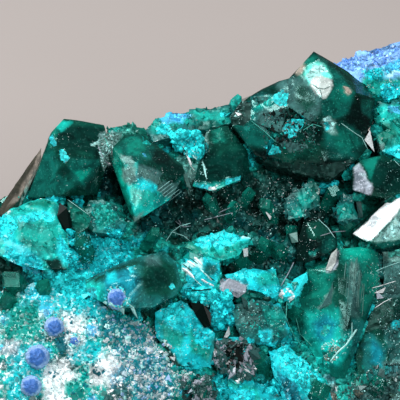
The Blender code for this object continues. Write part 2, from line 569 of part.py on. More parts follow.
def rock_blank():
    """The rock before its fractures: a rough hill over a wall of rings down to the flat base."""
    bm = bmesh.new()
    bmesh.ops.create_grid(bm, x_segments=19, y_segments=15, size=1)
    for vert in bm.verts:
        x, y = rim_shape(vert.co.x, vert.co.y)
        x *= WIDTH / 2
        y *= DEPTH / 2
        z = hill(x, y)
        vert.co = Vector((x, y, max(z + rough(x, y, z), 1.6)))
    rim = [edge for edge in bm.edges if edge.is_boundary]
    for height, bulge in WALL:
        ring = bmesh.ops.extrude_edge_only(bm, edges=rim)
        verts = [item for item in ring["geom"] if isinstance(item, bmesh.types.BMVert)]
        edges = [item for item in ring["geom"] if isinstance(item, bmesh.types.BMEdge)]
        rim = [edge for edge in edges if edge.is_boundary]
        for vert in verts:
            uneven = bulge + 0.03 * noise.noise(vert.co * 0.3 + Vector((0, 0, 5)))
            vert.co = Vector((vert.co.x * uneven, vert.co.y * uneven, vert.co.z * height))
    bmesh.ops.holes_fill(bm, edges=rim)
    bmesh.ops.triangulate(bm, faces=bm.faces)
    bmesh.ops.recalc_face_normals(bm, faces=bm.faces)
    return bm


def fracture(bm):
    """Break flat faces off the rock's sides."""
    for direction, tilt, bite in FRACTURES:
        turn, rise = math.radians(direction), math.radians(tilt)
        level = math.cos(rise)
        normal = Vector((math.cos(turn) * level, math.sin(turn) * level, math.sin(rise)))
        low = [vert.co.dot(normal) for vert in bm.verts if vert.co.z < 9.0]
        cut = bmesh.ops.bisect_plane(
            bm, geom=bm.verts[:] + bm.edges[:] + bm.faces[:], dist=0.001,
            plane_co=normal * (max(low) - bite), plane_no=normal, clear_outer=True,
        )
        edges = [item for item in cut["geom_cut"] if isinstance(item, bmesh.types.BMEdge)]
        bmesh.ops.holes_fill(bm, edges=edges)
    bmesh.ops.triangulate(bm, faces=bm.faces)
    bmesh.ops.recalc_face_normals(bm, faces=bm.faces)


def rock(parts, cutters, placed):
    """The host rock, with small crystals grown on it and room for every large one."""
    bm = rock_blank()
    fracture(bm)
    fit_to_size(bm)
    bmesh.ops.scale(bm, verts=bm.verts, vec=(MM, MM, MM))
    mesh = bpy.data.meshes.new("matrix_rock")
    bm.to_mesh(mesh)
    bm.free()
    thing = add_object("matrix_rock", mesh, parts)
    combine(thing, [span("small", solid, cutters) for solid in small_crystals()], "UNION")
    room = [span("room", taken, cutters) for taken in placed]
    combine(thing, room + [druse_body("druse_room", GAP, cutters)], "DIFFERENCE")
    finish(thing, "crusted rock")


def fit_to_size(bm):
    """Stretch the rock a little, so that it has exactly its width and depth about the origin."""
    for axis, size in ((0, WIDTH), (1, DEPTH)):
        low = min(vert.co[axis] for vert in bm.verts)
        high = max(vert.co[axis] for vert in bm.verts)
        for vert in bm.verts:
            vert.co[axis] = (vert.co[axis] - low) / (high - low) * size - size / 2


def small_crystals():
    """Small whole crystals that stand out of the hill at all angles."""
    draw = random.Random(4)
    solids = []
    for across, up, width, lean_x, lean_y in SMALL_SEEN:
        foot = on_hill(across, up)
        axis = (hill_normal(foot.x, foot.y) + Vector((lean_x, lean_y, 0))).normalized()
        solids.append(grown(foot, axis, draw.uniform(0, 1), width, width * 0.9, 0.85, 1.2))
    while len(solids) < len(SMALL_SEEN) + SMALL_CRYSTALS:
        x = draw.uniform(-0.46, 0.46) * WIDTH
        y = draw.uniform(-0.46, 0.46) * DEPTH
        in_view = abs(x) < 16.0 and -13.0 < y < 11.0
        over_x, over_y = (x - DRUSE_AT[0]) / DRUSE_REACH[0], (y - DRUSE_AT[1]) / DRUSE_REACH[1]
        near_druse = math.hypot(over_x, over_y) < 1.4
        if in_view or near_druse or math.hypot(2 * x / WIDTH, 2 * y / DEPTH) > 0.92:
            continue
        across = draw.uniform(1.6, 3.2)
        lean = Vector((draw.uniform(-0.8, 0.8), draw.uniform(-0.8, 0.8), 0))
        axis = (hill_normal(x, y) + lean).normalized()
        foot = Vector((x, y, hill(x, y)))
        spin = draw.uniform(0, 1)
        length = across * draw.uniform(0.7, 1.0)
        solids.append(grown(foot, axis, spin, across, length, 0.85, 1.2))
    return solids


def druse_body(name, margin, group):
    """The quartz crust's slab, or with a margin the room that the rock leaves for it."""
    bm = bmesh.new()
    bmesh.ops.create_grid(bm, x_segments=10, y_segments=8, size=1)
    rim = [edge for edge in bm.edges if edge.is_boundary]
    copy = bmesh.ops.duplicate(bm, geom=bm.verts[:] + bm.edges[:] + bm.faces[:])
    under = {item for item in copy["geom"] if isinstance(item, bmesh.types.BMVert)}
    bmesh.ops.translate(bm, verts=list(under), vec=(0, 0, -1))
    rim += [edge for edge in bm.edges if edge.is_boundary and edge not in rim]
    bmesh.ops.bridge_loops(bm, edges=rim)
    for vert in bm.verts:
        u, v = vert.co.x, vert.co.y
        u, v = u * math.sqrt(1 - v * v / 2), v * math.sqrt(1 - u * u / 2)
        out = min(math.hypot(u, v), 1.0)
        angle = math.atan2(v, u)
        wavy = 1 + out * (0.13 * math.sin(3 * angle + 1.0) + 0.08 * math.sin(7 * angle))
        u, v = u * wavy, v * wavy
        x = DRUSE_AT[0] + u * (DRUSE_REACH[0] + margin)
        y = DRUSE_AT[1] + v * (DRUSE_REACH[1] + margin)
        z = hill(x, y)
        if vert in under:
            z -= DRUSE_SUNK * (1 - 0.4 * out**4) + margin
        elif margin > 0:
            z += 6.0
        else:
            lumps = 0.9 * noise.noise(Vector((x, y, 3.0)) * 0.45)
            lumps += 0.5 * noise.noise(Vector((x, y, 8.0)) * 1.1)
            z += DRUSE_THICK * (1 - 0.8 * out**4) + lumps * (1 - 0.5 * out**2)
        vert.co = Vector((x, y, z)) * MM
    bmesh.ops.recalc_face_normals(bm, faces=bm.faces)
    bmesh.ops.triangulate(bm, faces=bm.faces)
    mesh = bpy.data.meshes.new(name)
    bm.to_mesh(mesh)
    bm.free()
    return add_object(name, mesh, group)


def ball(across, up, radius, group):
    """A small blue ball, half sunk in the crust where the viewer sees it."""
    bm = bmesh.new()
    bmesh.ops.create_icosphere(bm, subdivisions=2, radius=radius * MM)
    place = on_hill(across, up, DRUSE_THICK)
    bmesh.ops.translate(bm, verts=bm.verts, vec=place * MM)
    mesh = bpy.data.meshes.new("ball")
    bm.to_mesh(mesh)
    bm.free()
    return add_object("ball", mesh, group)


def quartz_druse(parts, cutters, placed):
    """The sugary quartz crust with quartz points and blue balls grown together with it."""
    thing = druse_body("quartz_druse", 0.0, parts)
    draw = random.Random(9)
    grains = []
    for _ in range(QUARTZ_GRAINS):
        angle = draw.uniform(0, 2 * math.pi)
        out = math.sqrt(draw.uniform(0, 0.8))
        x = DRUSE_AT[0] + DRUSE_REACH[0] * out * math.cos(angle)
        y = DRUSE_AT[1] + DRUSE_REACH[1] * out * math.sin(angle)
        lean = Vector((draw.uniform(-0.7, 0.7), draw.uniform(-0.7, 0.7), 0))
        foot = Vector((x, y, hill(x, y) + DRUSE_THICK * 0.5))
        across = draw.uniform(0.8, 1.5)
        axis = (hill_normal(x, y) + lean).normalized()
        grains.append(grown(foot, axis, draw.uniform(0, 1), across, across * 0.9 + 0.3, 0.9, 0.5))
    solids = [span("grain", grain, cutters) for grain in grains]
    solids += [ball(across, up, radius, cutters) for across, up, radius in BALLS]
    combine(thing, solids, "UNION")
    whole = [Vector(vert.co) / MM for vert in thing.data.vertices]
    room = [span("room", taken, cutters) for taken in placed if near_box(whole, taken)]
    combine(thing, room, "DIFFERENCE")
    finish(thing, "quartz")


def main():
    for thing in list(bpy.data.objects):
        bpy.data.objects.remove(thing)
    parts = bpy.data.collections.new("dioptase specimen")
    cutters = bpy.data.collections.new("cutters")
    for group in (parts, cutters):
        bpy.context.scene.collection.children.link(group)
    placed = place_crystals(parts, cutters)
    quartz_druse(parts, cutters, placed)
    rock(parts, cutters, placed)


main()
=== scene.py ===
"""Looks for a hand specimen of dioptase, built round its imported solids.

The file is laid out as a Blender add-on: one operator makes each group of pieces, and main()
runs them in order. Every piece is in metres, in the frame of the solids: +X to the viewer's
right, +Y away from the viewer, +Z up, with the origin under the middle of the flat base.
Sizes in the tables below are millimetres, and MM turns them into metres.
"""

import json
import math
import random

import bmesh
import bpy
import numpy as np
from mathutils import Matrix, Vector, noise
from mathutils.bvhtree import BVHTree


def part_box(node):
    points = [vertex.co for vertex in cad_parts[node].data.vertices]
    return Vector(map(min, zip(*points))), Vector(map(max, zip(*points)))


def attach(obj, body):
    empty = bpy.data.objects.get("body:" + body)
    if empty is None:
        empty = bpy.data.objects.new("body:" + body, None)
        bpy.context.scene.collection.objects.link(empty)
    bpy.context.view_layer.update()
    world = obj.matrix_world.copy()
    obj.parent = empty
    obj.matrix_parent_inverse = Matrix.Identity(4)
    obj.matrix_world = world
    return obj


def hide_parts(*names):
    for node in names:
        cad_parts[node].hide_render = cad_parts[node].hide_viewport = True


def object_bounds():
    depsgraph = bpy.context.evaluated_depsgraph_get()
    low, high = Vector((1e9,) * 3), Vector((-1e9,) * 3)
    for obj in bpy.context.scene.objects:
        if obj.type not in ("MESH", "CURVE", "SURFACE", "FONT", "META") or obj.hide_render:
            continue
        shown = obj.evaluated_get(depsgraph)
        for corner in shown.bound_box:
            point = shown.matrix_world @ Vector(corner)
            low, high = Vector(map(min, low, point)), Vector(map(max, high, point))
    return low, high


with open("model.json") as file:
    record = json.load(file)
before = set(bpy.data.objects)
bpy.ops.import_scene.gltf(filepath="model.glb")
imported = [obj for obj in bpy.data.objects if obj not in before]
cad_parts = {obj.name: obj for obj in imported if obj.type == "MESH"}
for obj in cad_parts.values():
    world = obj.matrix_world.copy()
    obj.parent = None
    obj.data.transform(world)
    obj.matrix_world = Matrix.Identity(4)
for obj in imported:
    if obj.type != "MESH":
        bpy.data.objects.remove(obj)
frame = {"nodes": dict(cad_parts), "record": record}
cad_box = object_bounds()

bl_info = {
    "name": "Dioptase specimen",
    "version": (1, 0, 0),
    "blender": (4, 5, 0),
    "location": "View3D > Sidebar > Dioptase",
    "description": "Dresses the solids of a dioptase hand specimen in crystal, crust and druse",
    "category": "Object",
}

MM = 0.001

# The view that the picture frame shows: its tilt, distance, middle height and width
VIEW_TILT = math.radians(28)
VIEW_DISTANCE = 170.0
VIEW_HEIGHT = 18.0
VIEW_WIDTH = 32.0
SENSOR = 36.0
PICTURE_PIXELS = 400
PIXEL = VIEW_WIDTH / PICTURE_PIXELS

WANDER_SEED = 1

# Colours of the specimen, as sRGB hex values
PALETTE = {
    "black": "01120F",
    "black green": "022A24",
    "deep green": "063A30",
    "dark emerald": "085048",
    "emerald": "09685A",
    "bright emerald": "068674",
    "dark teal": "14605E",
    "teal": "10988C",
    "sea": "12B6AC",
    "sea blue": "0F7C8C",
    "cyan": "14C2CC",
    "bright cyan": "26E0E6",
    "sky": "4FC4F0",
    "pale teal": "5CCBBC",
    "ice": "B4F4F0",
    "white": "EEF6F8",
    "grey green": "5F8A84",
    "slate": "36605E",
    "lavender grey": "9AA4B0",
    "pale grey": "AEB9B6",
    "pale blue": "9CC4F0",
    "cornflower": "7FB2EE",
    "blue": "2A70C4",
    "brown": "5A5548",
    "beige": "A79C90",
}


# How the sidebar shows the small lengths of this specimen
LENGTH = {"unit": "LENGTH", "precision": 5}


class LightSizes(bpy.types.PropertyGroup):
    """The studio light and the floor."""

    key_power: bpy.props.FloatProperty(
        name="Key power", description="Power of the large soft light above", default=2.6, min=0.0,
        unit="POWER")
    fill_power: bpy.props.FloatProperty(
        name="Fill power", description="Power of the soft light beside the camera", default=1.5, min=0.0,
        unit="POWER")
    glint_power: bpy.props.FloatProperty(
        name="Glint power", description="Power of each small light that a crystal face mirrors",
        default=0.02, min=0.0, unit="POWER")
    world_strength: bpy.props.FloatProperty(
        name="Room light", description="Strength of the even light of the room", default=0.12, min=0.0)
    floor_color: bpy.props.FloatVectorProperty(
        name="Floor", description="Colour of the pale floor", subtype="COLOR_GAMMA", size=3,
        default=(0.66, 0.63, 0.615), min=0.0, max=1.0)


class CrystalSizes(bpy.types.PropertyGroup):
    """The finish of the crystals."""

    seen_grid: bpy.props.FloatProperty(
        name="Seen grid", description="Spacing of the mesh where the picture frame shows a crystal",
        default=0.18 * MM, min=0.05 * MM, **LENGTH)
    outer_grid: bpy.props.FloatProperty(
        name="Outer grid", description="Spacing of the mesh elsewhere", default=0.7 * MM, min=0.1 * MM,
        **LENGTH)
    facet_wave: bpy.props.FloatProperty(
        name="Facet wave", description="Height of the gentle waves of growth on a crystal's faces",
        default=0.005 * MM, min=0.0, **LENGTH)
    crust_height: bpy.props.FloatProperty(
        name="Crust height", description="Height of the crust's grains where it coats a crystal",
        default=0.10 * MM, min=0.0, **LENGTH)


class CrustSizes(bpy.types.PropertyGroup):
    """The crusted rock."""

    grain: bpy.props.FloatProperty(
        name="Crust grain", description="Width of the crust's angular grains", default=0.75 * MM,
        min=0.1 * MM, **LENGTH)


class GrainSizes(bpy.types.PropertyGroup):
    """The loose grains of crust."""

    chips: bpy.props.IntProperty(
        name="Chips", description="Number of small angular chips on the crust", default=9000, min=0)
    lumps: bpy.props.IntProperty(
        name="Lumps", description="Number of larger lumps of crust", default=900, min=0)


class DruseSizes(bpy.types.PropertyGroup):
    """The quartz druse."""

    grains: bpy.props.IntProperty(
        name="Quartz grains", description="Number of quartz points on the druse", default=3600, min=0)


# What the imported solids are: the slot of each crystal node
SLOTS = {row["node"]: row["material_slot"] for row in frame["record"]["subparts"]}


def to_linear(channels):
    """Turn sRGB channels, from 0 to 1, into linear ones."""
    return [c / 12.92 if c <= 0.04045 else ((c + 0.055) / 1.055) ** 2.4 for c in channels]


def linear(name):
    """A palette colour as linear channels."""
    return to_linear([int(PALETTE[name][at:at + 2], 16) / 255 for at in (0, 2, 4)])


def tone(name):
    """A palette colour as linear channels with alpha."""
    return (*linear(name), 1.0)


# Places: from the picture frame to the specimen, and back

def seen(across, up, back):
    """Turn a place as the viewer sees it into the specimen's frame, in millimetres."""
    spread = 1 + back / VIEW_DISTANCE
    rise = up * spread
    y = rise * math.sin(VIEW_TILT) + back * math.cos(VIEW_TILT)
    z = VIEW_HEIGHT + rise * math.cos(VIEW_TILT) - back * math.sin(VIEW_TILT)
    return Vector((across * spread, y, z))


def in_view(points):
    """Turn places in metres into how far across, up and back the viewer sees them, in millimetres."""
    y = points[:, 1] / MM
    z = points[:, 2] / MM - VIEW_HEIGHT
    rise = z * math.cos(VIEW_TILT) + y * math.sin(VIEW_TILT)
    back = y * math.cos(VIEW_TILT) - z * math.sin(VIEW_TILT)
    spread = 1 + back / VIEW_DISTANCE
    return np.column_stack((points[:, 0] / MM / spread, rise / spread, back))


def picture(points):
    """Places in the picture frame, in its pixels, of points given in metres."""
    view = in_view(points)
    half = PICTURE_PIXELS / 2
    return np.column_stack((half + view[:, 0] / PIXEL, half - view[:, 1] / PIXEL))


def shown(points, across=17.0, up=17.0):
    """Whether the picture frame, or a narrow band round it, shows each place given in metres."""
    view = in_view(points)
    return (np.abs(view[:, 0]) < across) & (np.abs(view[:, 1]) < up)


def parts_of(row):
    """Take a row such as "dark teal 0.5 3 90,200 112,200 128,224" apart: colour, numbers, corners.

    The corners are pixels of the picture frame, across from its left and down from its top.
    """
    words = row.split()
    colour = " ".join(word for word in words if word.isalpha())
    numbers = [float(word) for word in words if not word.isalpha() and "," not in word]
    corners = [tuple(map(float, word.split(","))) for word in words if "," in word]
    return colour, *numbers, corners


def outline_distance(places, corners):
    """Distance of each place from an outline, less than nothing inside it."""
    inside = np.zeros(len(places), bool)
    nearest = np.full(len(places), np.inf)
    x, y = places[:, 0], places[:, 1]
    for (ax, ay), (bx, by) in zip(corners, corners[1:] + corners[:1]):
        length = (bx - ax) ** 2 + (by - ay) ** 2 + 1e-9
        along = np.clip(((x - ax) * (bx - ax) + (y - ay) * (by - ay)) / length, 0, 1)
        nearest = np.minimum(nearest, np.hypot(x - ax - along * (bx - ax), y - ay - along * (by - ay)))
        crosses = (ay > y) != (by > y)
        at = ax + (y - ay) / (by - ay + 1e-12) * (bx - ax)
        inside ^= crosses & (x < at)
    return np.where(inside, -nearest, nearest)


def within(places, corners, soft):
    """Share of a mark that each place takes: 1 inside its outline, whose edge is some pixels soft."""
    return np.clip(0.5 - outline_distance(places, corners) / soft, 0, 1)[:, None]


def between(values, low, high):
    """Share, from 0 to 1, of the way that each value has gone from low to high."""
    return np.clip((values - low) / (high - low), 0, 1)[:, None]


def wander(points, size):
    """Smooth random offsets, from -1 to 1 in each direction, that change over a size in metres.

    Without a seed, these would start from the clock and differ from run to run.
    """
    noise.seed_set(WANDER_SEED)
    return np.array([noise.noise_vector(place) for place in points / size])


def cloud(points, size, shift=0.0):
    """A smooth random height, from -1 to 1, that changes over a size in metres."""
    return np.array([noise.noise(place) for place in points / size + shift])


def grain_relief(points, size, shift=0.0):
    """Height of angular grains, from -1 to 1: each is a cell with a tilted top of its own."""
    heights = np.empty(len(points))
    for number, place in enumerate(points / size + shift):
        spot = Vector(place)
        near, centres = noise.voronoi(spot)
        centre = centres[0]
        tilt = noise.cell_vector(centre * 31.7) - Vector((0.5, 0.5, 0.5))
        heights[number] = tilt.dot(spot - centre) * 2.0 + noise.cell(centre * 17.3) - 0.5
    return heights


# Materials

MATH = "ShaderNodeMath"
VECTOR_MATH = "ShaderNodeVectorMath"
NOISE = "ShaderNodeTexNoise"
CELLS = "ShaderNodeTexVoronoi"
RANGE = "ShaderNodeMapRange"
RAMP = "ShaderNodeValToRGB"
PRINCIPLED = "ShaderNodeBsdfPrincipled"
OUTPUT = "ShaderNodeOutputMaterial"
# A mix takes its share as input 0 and its colours as 6 and 7, and gives its colour as output 2
MIX = "ShaderNodeMix"
BLEND = {"data_type": "RGBA"}
TIMES = {"data_type": "RGBA", "blend_type": "MULTIPLY"}
CRUST_FINISH = "chrysocolla crust on rock"


def node(tree, kind, inputs=None, stops=(), **settings):
    """Add a shader node with its settings, and a value or a link for each input. Gives its outputs."""
    made = tree.nodes.new(kind)
    for name, value in settings.items():
        setattr(made, name, value)
    for name, value in (inputs or {}).items():
        if isinstance(value, bpy.types.NodeSocket):
            tree.links.new(value, made.inputs[name])
        else:
            made.inputs[name].default_value = value
    for number, (position, colour) in enumerate(stops):
        elements = made.color_ramp.elements
        element = elements[number] if number < len(elements) else elements.new(1.0)
        element.position = position
        element.color = colour
    return made.outputs


def new_material(name):
    """An empty node material with the specimen's own coordinates."""
    material = bpy.data.materials.new(name)
    material.use_nodes = True
    tree = material.node_tree
    tree.nodes.clear()
    return material, tree, node(tree, "ShaderNodeTexCoord")["Object"]


def pattern(place, width, detail=None, rough=None, warp=0.0):
    """Inputs of a texture whose lumps or cells are a width in millimetres."""
    inputs = {"Vector": place, "Scale": 1 / (width * MM)}
    if detail is not None:
        inputs.update({"Detail": detail, "Roughness": rough, "Distortion": warp})
    return inputs


def sparkle_normal(tree, place, width, strength):
    """A normal that turns from cell to cell, as the small faces of a crystalline crust do."""
    cells = node(tree, CELLS, pattern(place, width))
    turned = node(tree, VECTOR_MATH, {0: cells["Color"], 1: (0.5, 0.5, 0.5)}, operation="SUBTRACT")
    scaled = node(tree, VECTOR_MATH, {0: turned[0], "Scale": strength}, operation="SCALE")
    normal = node(tree, "ShaderNodeNewGeometry")["Normal"]
    added = node(tree, VECTOR_MATH, {0: normal, 1: scaled[0]}, operation="ADD")
    return node(tree, VECTOR_MATH, {0: added[0]}, operation="NORMALIZE")[0]


def coat_mask(tree, place, alpha):
    """Crisp ragged edges for a coat whose painted alpha only fades."""
    ragged = node(tree, NOISE, pattern(place, 0.45, 5.0, 0.65))[0]
    centred = node(tree, MATH, {0: ragged, 1: 0.5}, operation="SUBTRACT")[0]
    raised = node(tree, MATH, {0: centred, 1: 1.1, 2: alpha}, operation="MULTIPLY_ADD")[0]
    edge = {"Value": raised, "From Min": 0.44, "From Max": 0.6}
    return node(tree, RANGE, edge, interpolation_type="SMOOTHSTEP")[0]


def crust_colour(tree, place, tint):
    """A crust's colour: mottled and dark in its pores, with pale grains as painted glints where they catch
    the light.
    """
    mottle = node(tree, NOISE, pattern(place, 0.8, 6.0, 0.7, 0.5))[0]
    shade = node(tree, RAMP, {0: mottle}, [
        (0.34, (0.16, 0.30, 0.34, 1)), (0.46, (0.75, 0.8, 0.8, 1)), (0.56, (1.1, 1.1, 1.1, 1)),
        (0.7, (1.9, 1.5, 1.4, 1))])[0]
    body = node(tree, MIX, {0: 1.0, 6: tint, 7: shade}, **TIMES)[2]
    fine = node(tree, NOISE, pattern(place, 0.22, 5.0, 0.7))[0]
    pores = node(tree, RANGE, {"Value": fine, "From Min": 0.40, "From Max": 0.52, "To Min": 0.4})[0]
    body = node(tree, MIX, {0: 1.0, 6: body, 7: pores}, **TIMES)[2]
    grains = node(tree, CELLS, pattern(place, 0.2))["Color"]
    pale = node(tree, RANGE, {"Value": grains, "From Min": 0.72, "From Max": 0.82, "To Max": 0.5})[0]
    bright = node(tree, MIX, {0: 1.0, 6: tint, 7: (3, 3, 3, 1)}, **TIMES)[2]
    lighter = node(tree, MIX, {0: 0.08, 6: bright, 7: tone("ice")}, **BLEND)[2]
    return node(tree, MIX, {0: pale, 6: body, 7: lighter}, **BLEND)[2]


# The green that deep dioptase lets through, as linear channels, and how strong it is a metre
DEPTH_COLOUR = (0.02, 0.83, 0.68, 1)
DEPTH_DENSITY = 500.0


def crystal_material(name, clear, gain, rough, frosting, depth_colour=DEPTH_COLOUR, density=DEPTH_DENSITY):
    """Dioptase crystal broken or grown in the open: glossy, clear and deep green, with cloudy veils.

    The painted tint gives its colour, and crust shows where the coat is painted. Its faces mirror
    the green crystals round them, so what they mirror is tinted.
    """
    material, tree, place = new_material(name)
    tint = node(tree, "ShaderNodeAttribute", attribute_name="body")
    coat_tint = node(tree, "ShaderNodeAttribute", attribute_name="coat")
    frost = tint["Alpha"]
    lit = node(tree, MIX, {0: 1.0, 6: tint["Color"], 7: (gain, gain, gain, 1)}, **TIMES)[2]
    veils = node(tree, NOISE, pattern(place, 1.6, 6.0, 0.65, 1.0))[0]
    shade = node(tree, RAMP, {0: veils}, [
        (0.36, (0.35, 0.38, 0.40, 1)), (0.5, (0.9, 0.9, 0.9, 1)), (0.64, (1.35, 1.4, 1.4, 1))])[0]
    body = node(tree, MIX, {0: 1.0, 6: lit, 7: shade}, **TIMES)[2]
    bright = node(tree, MIX, {0: 1.0, 6: lit, 7: (3.5, 3.2, 3.2, 1)}, **TIMES)[2]
    lighter = node(tree, MIX, {0: 0.12, 6: bright, 7: tone("ice")}, **BLEND)[2]

    # Pale marks in the crystal: growth lines that run up, streaks and motes
    upright = node(tree, VECTOR_MATH, {0: place, 1: (5.0, 5.0, 0.6)}, operation="MULTIPLY")[0]
    growth = node(tree, NOISE, pattern(upright, 1.1, 4.0, 0.65))[0]
    streaks = node(tree, NOISE, pattern(place, 0.35, 6.0, 0.75, 2.5))[0]
    motes = node(tree, CELLS, pattern(place, 0.10))["Color"]
    marks = (
        (growth, 0.55, 0.72, 0.25, 0.04),
        (streaks, 0.58, 0.72, 0.45, 0.05),
        (motes, 0.80, 0.84, 0.0, 0.3),
    )
    for texture, low, high, with_frost, without in marks:
        mark = node(tree, RANGE, {"Value": texture, "From Min": low, "From Max": high})[0]
        cloudy = node(tree, MATH, {0: frost, 1: with_frost, 2: without}, operation="MULTIPLY_ADD")[0]
        share = node(tree, MATH, {0: mark, 1: cloudy}, operation="MULTIPLY")[0]
        body = node(tree, MIX, {0: share, 6: body, 7: lighter}, **BLEND)[2]

    # Crust over the crystal, and a surface that is dull where it is frosted or crusted
    coat = coat_mask(tree, place, coat_tint["Alpha"])
    coat_lit = node(tree, MIX, {0: 1.0, 6: coat_tint["Color"], 7: (1.2, 1.2, 1.2, 1)}, **TIMES)[2]
    crusted = crust_colour(tree, place, coat_lit)
    colour = node(tree, MIX, {0: coat, 6: body, 7: crusted}, **BLEND)[2]
    uneven = node(tree, NOISE, pattern(place, 0.22, 4.0, 0.7))[0]
    frosted = node(tree, MATH, {0: frost, 1: uneven}, operation="MULTIPLY")[0]
    dulled = node(tree, MATH, {0: frosted, 1: frosting, 2: rough}, operation="MULTIPLY_ADD")[0]
    crust_gloss = node(tree, MATH, {0: coat, 1: 0.6}, operation="MULTIPLY")[0]
    gloss = node(tree, MATH, {0: dulled, 1: crust_gloss}, operation="MAXIMUM")[0]
    ripple = node(tree, NOISE, pattern(place, 0.5, 5.0, 0.6))[0]
    bump = node(tree, "ShaderNodeBump", {"Strength": 0.2, "Distance": 0.015 * MM, "Height": ripple})[0]
    surface = node(tree, PRINCIPLED, {
        "Base Color": colour, "Roughness": gloss, "Normal": bump, "IOR": 1.66,
        "Transmission Weight": clear, "Specular IOR Level": 0.25, "Specular Tint": (0.35, 0.75, 0.7, 1)})
    inside = node(tree, "ShaderNodeVolumeAbsorption", {"Color": depth_colour, "Density": density})
    node(tree, OUTPUT, {"Surface": surface[0], "Volume": inside[0]})
    return material


def crust_material():
    """Copper silicate crust deposited on broken rock: rough, cyan, crystalline, black in its pores."""
    material, tree, place = new_material(CRUST_FINISH)
    tint = node(tree, "ShaderNodeAttribute", attribute_name="body")["Color"]
    patches = node(tree, NOISE, pattern(place, 0.4, 3.0, 0.55))[0]
    gloss = node(tree, RANGE, {
        "Value": patches, "From Min": 0.3, "From Max": 0.7, "To Min": 0.25, "To Max": 0.8})[0]
    surface = node(tree, PRINCIPLED, {
        "Base Color": crust_colour(tree, place, tint), "Roughness": gloss, "IOR": 1.5,
        "Normal": sparkle_normal(tree, place, 0.3, 0.55), "Specular IOR Level": 0.3,
        "Specular Tint": (0.4, 0.85, 0.8, 1)})
    node(tree, OUTPUT, {"Surface": surface[0]})
    return material


def druse_material():
    """Quartz druse grown as sugary points: white and lavender, glittering, with teal between."""
    material, tree, place = new_material("quartz druse")
    tint = node(tree, "ShaderNodeAttribute", attribute_name="body")
    spotty = node(tree, NOISE, pattern(place, 0.6, 6.0, 0.75))[0]
    centred = node(tree, MATH, {0: spotty, 1: 0.5}, operation="SUBTRACT")[0]
    clean = node(tree, MATH, {0: centred, 1: 2.4, 2: tint["Alpha"]}, operation="MULTIPLY_ADD")[0]
    share = node(tree, RANGE, {"Value": clean, "From Min": 0.45, "From Max": 0.6})[0]
    colour = node(tree, MIX, {0: share, 6: tint["Color"], 7: tone("white")}, **BLEND)[2]
    cells = node(tree, CELLS, pattern(place, 0.34))["Distance"]
    dark = node(tree, RANGE, {
        "Value": cells, "From Min": 0.1, "From Max": 0.5, "To Min": 1.2, "To Max": 0.95})[0]
    colour = node(tree, MIX, {0: 1.0, 6: colour, 7: dark}, **TIMES)[2]
    surface = node(tree, PRINCIPLED, {
        "Base Color": colour, "Roughness": 0.25, "IOR": 1.54,
        "Normal": sparkle_normal(tree, place, 0.34, 0.5)})
    node(tree, OUTPUT, {"Surface": surface[0]})
    return material


def shaded_material(name, texture, dark, light, rough, ior, shine=0.5):
    """A finish that takes the tint painted on a piece, between a dark and a light shade of it."""
    material, tree, place = new_material(name)
    tint = node(tree, "ShaderNodeAttribute", attribute_name="body")["Color"]
    uneven = node(tree, NOISE, pattern(place, *texture))[0]
    shade = node(tree, RAMP, {0: uneven}, [(0.3, dark), (0.7, light)])[0]
    colour = node(tree, MIX, {0: 1.0, 6: tint, 7: shade}, **TIMES)[2]
    surface = node(tree, PRINCIPLED, {
        "Base Color": colour, "Roughness": rough, "IOR": ior, "Specular IOR Level": shine})
    node(tree, OUTPUT, {"Surface": surface[0]})
    return material


def grain_material(name, rough, shine=0.35):
    """Loose grains broken from quartz or crust: a little uneven, more or less glossy."""
    return shaded_material(
        name, (0.15, 4.0, 0.55), (0.6, 0.6, 0.6, 1), (1.15, 1.15, 1.15, 1), rough, 1.54, shine)


def ball_material():
    """Shattuckite grown in balls of fine fibres: velvety blue with paler rings, and a paler rim that is
    painted sheen.
    """
    return shaded_material(
        "shattuckite balls", (0.09, 4.0, 0.7), (0.55, 0.6, 0.7, 1), (1.25, 1.2, 1.1, 1), 0.65, 1.7)


def floor_material(colour):
    """Matt painted board: plain, pale and very slightly mottled."""
    material, tree, place = new_material("painted board")
    mottle = node(tree, NOISE, pattern(place, 60.0, 2.0, 0.55))[0]
    shade = node(tree, RAMP, {0: mottle}, [(0.3, (0.97, 0.97, 0.97, 1)), (0.7, (1, 1, 1, 1))])[0]
    mottled = node(tree, MIX, {0: 1.0, 6: (*colour, 1.0), 7: shade}, **TIMES)[2]
    surface = node(tree, PRINCIPLED, {"Base Color": mottled, "Roughness": 0.9, "Specular IOR Level": 0.1})
    node(tree, OUTPUT, {"Surface": surface[0]})
    return material


# Meshes

def put_in_scene(name, mesh, material, slot, *nodes):
    """Add a piece that rides on the specimen, with its finish, in place of the nodes named."""
    piece = bpy.data.objects.new(name, mesh)
    bpy.context.scene.collection.objects.link(piece)
    mesh.materials.clear()
    mesh.materials.append(material)
    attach(piece, "root")
    if nodes:
        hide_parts(*nodes)


def places_of(mesh):
    """A mesh's vertices as an array."""
    flat = np.empty(len(mesh.vertices) * 3)
    mesh.vertices.foreach_get("co", flat)
    return flat.reshape(-1, 3)


def normals_of(mesh):
    """A mesh's vertex normals as an array."""
    flat = np.empty(len(mesh.vertices) * 3)
    mesh.vertices.foreach_get("normal", flat)
    return flat.reshape(-1, 3)


def move_to(mesh, points):
    """Move a mesh's vertices, keeping them inside the solids' own box."""
    low, high = (np.array(corner) for corner in cad_box)
    mesh.vertices.foreach_set("co", np.clip(points, low, high).ravel())
    mesh.update()


def paint(mesh, name, colours):
    """Store a colour and an alpha for each vertex."""
    layer = mesh.color_attributes.new(name, "FLOAT_COLOR", "POINT")
    layer.data.foreach_set("color", colours.astype(np.float32).ravel())


def plain(count, colour, alpha=0.0):
    """An array of one palette colour."""
    return np.tile(np.array([*linear(colour), alpha]), (count, 1))


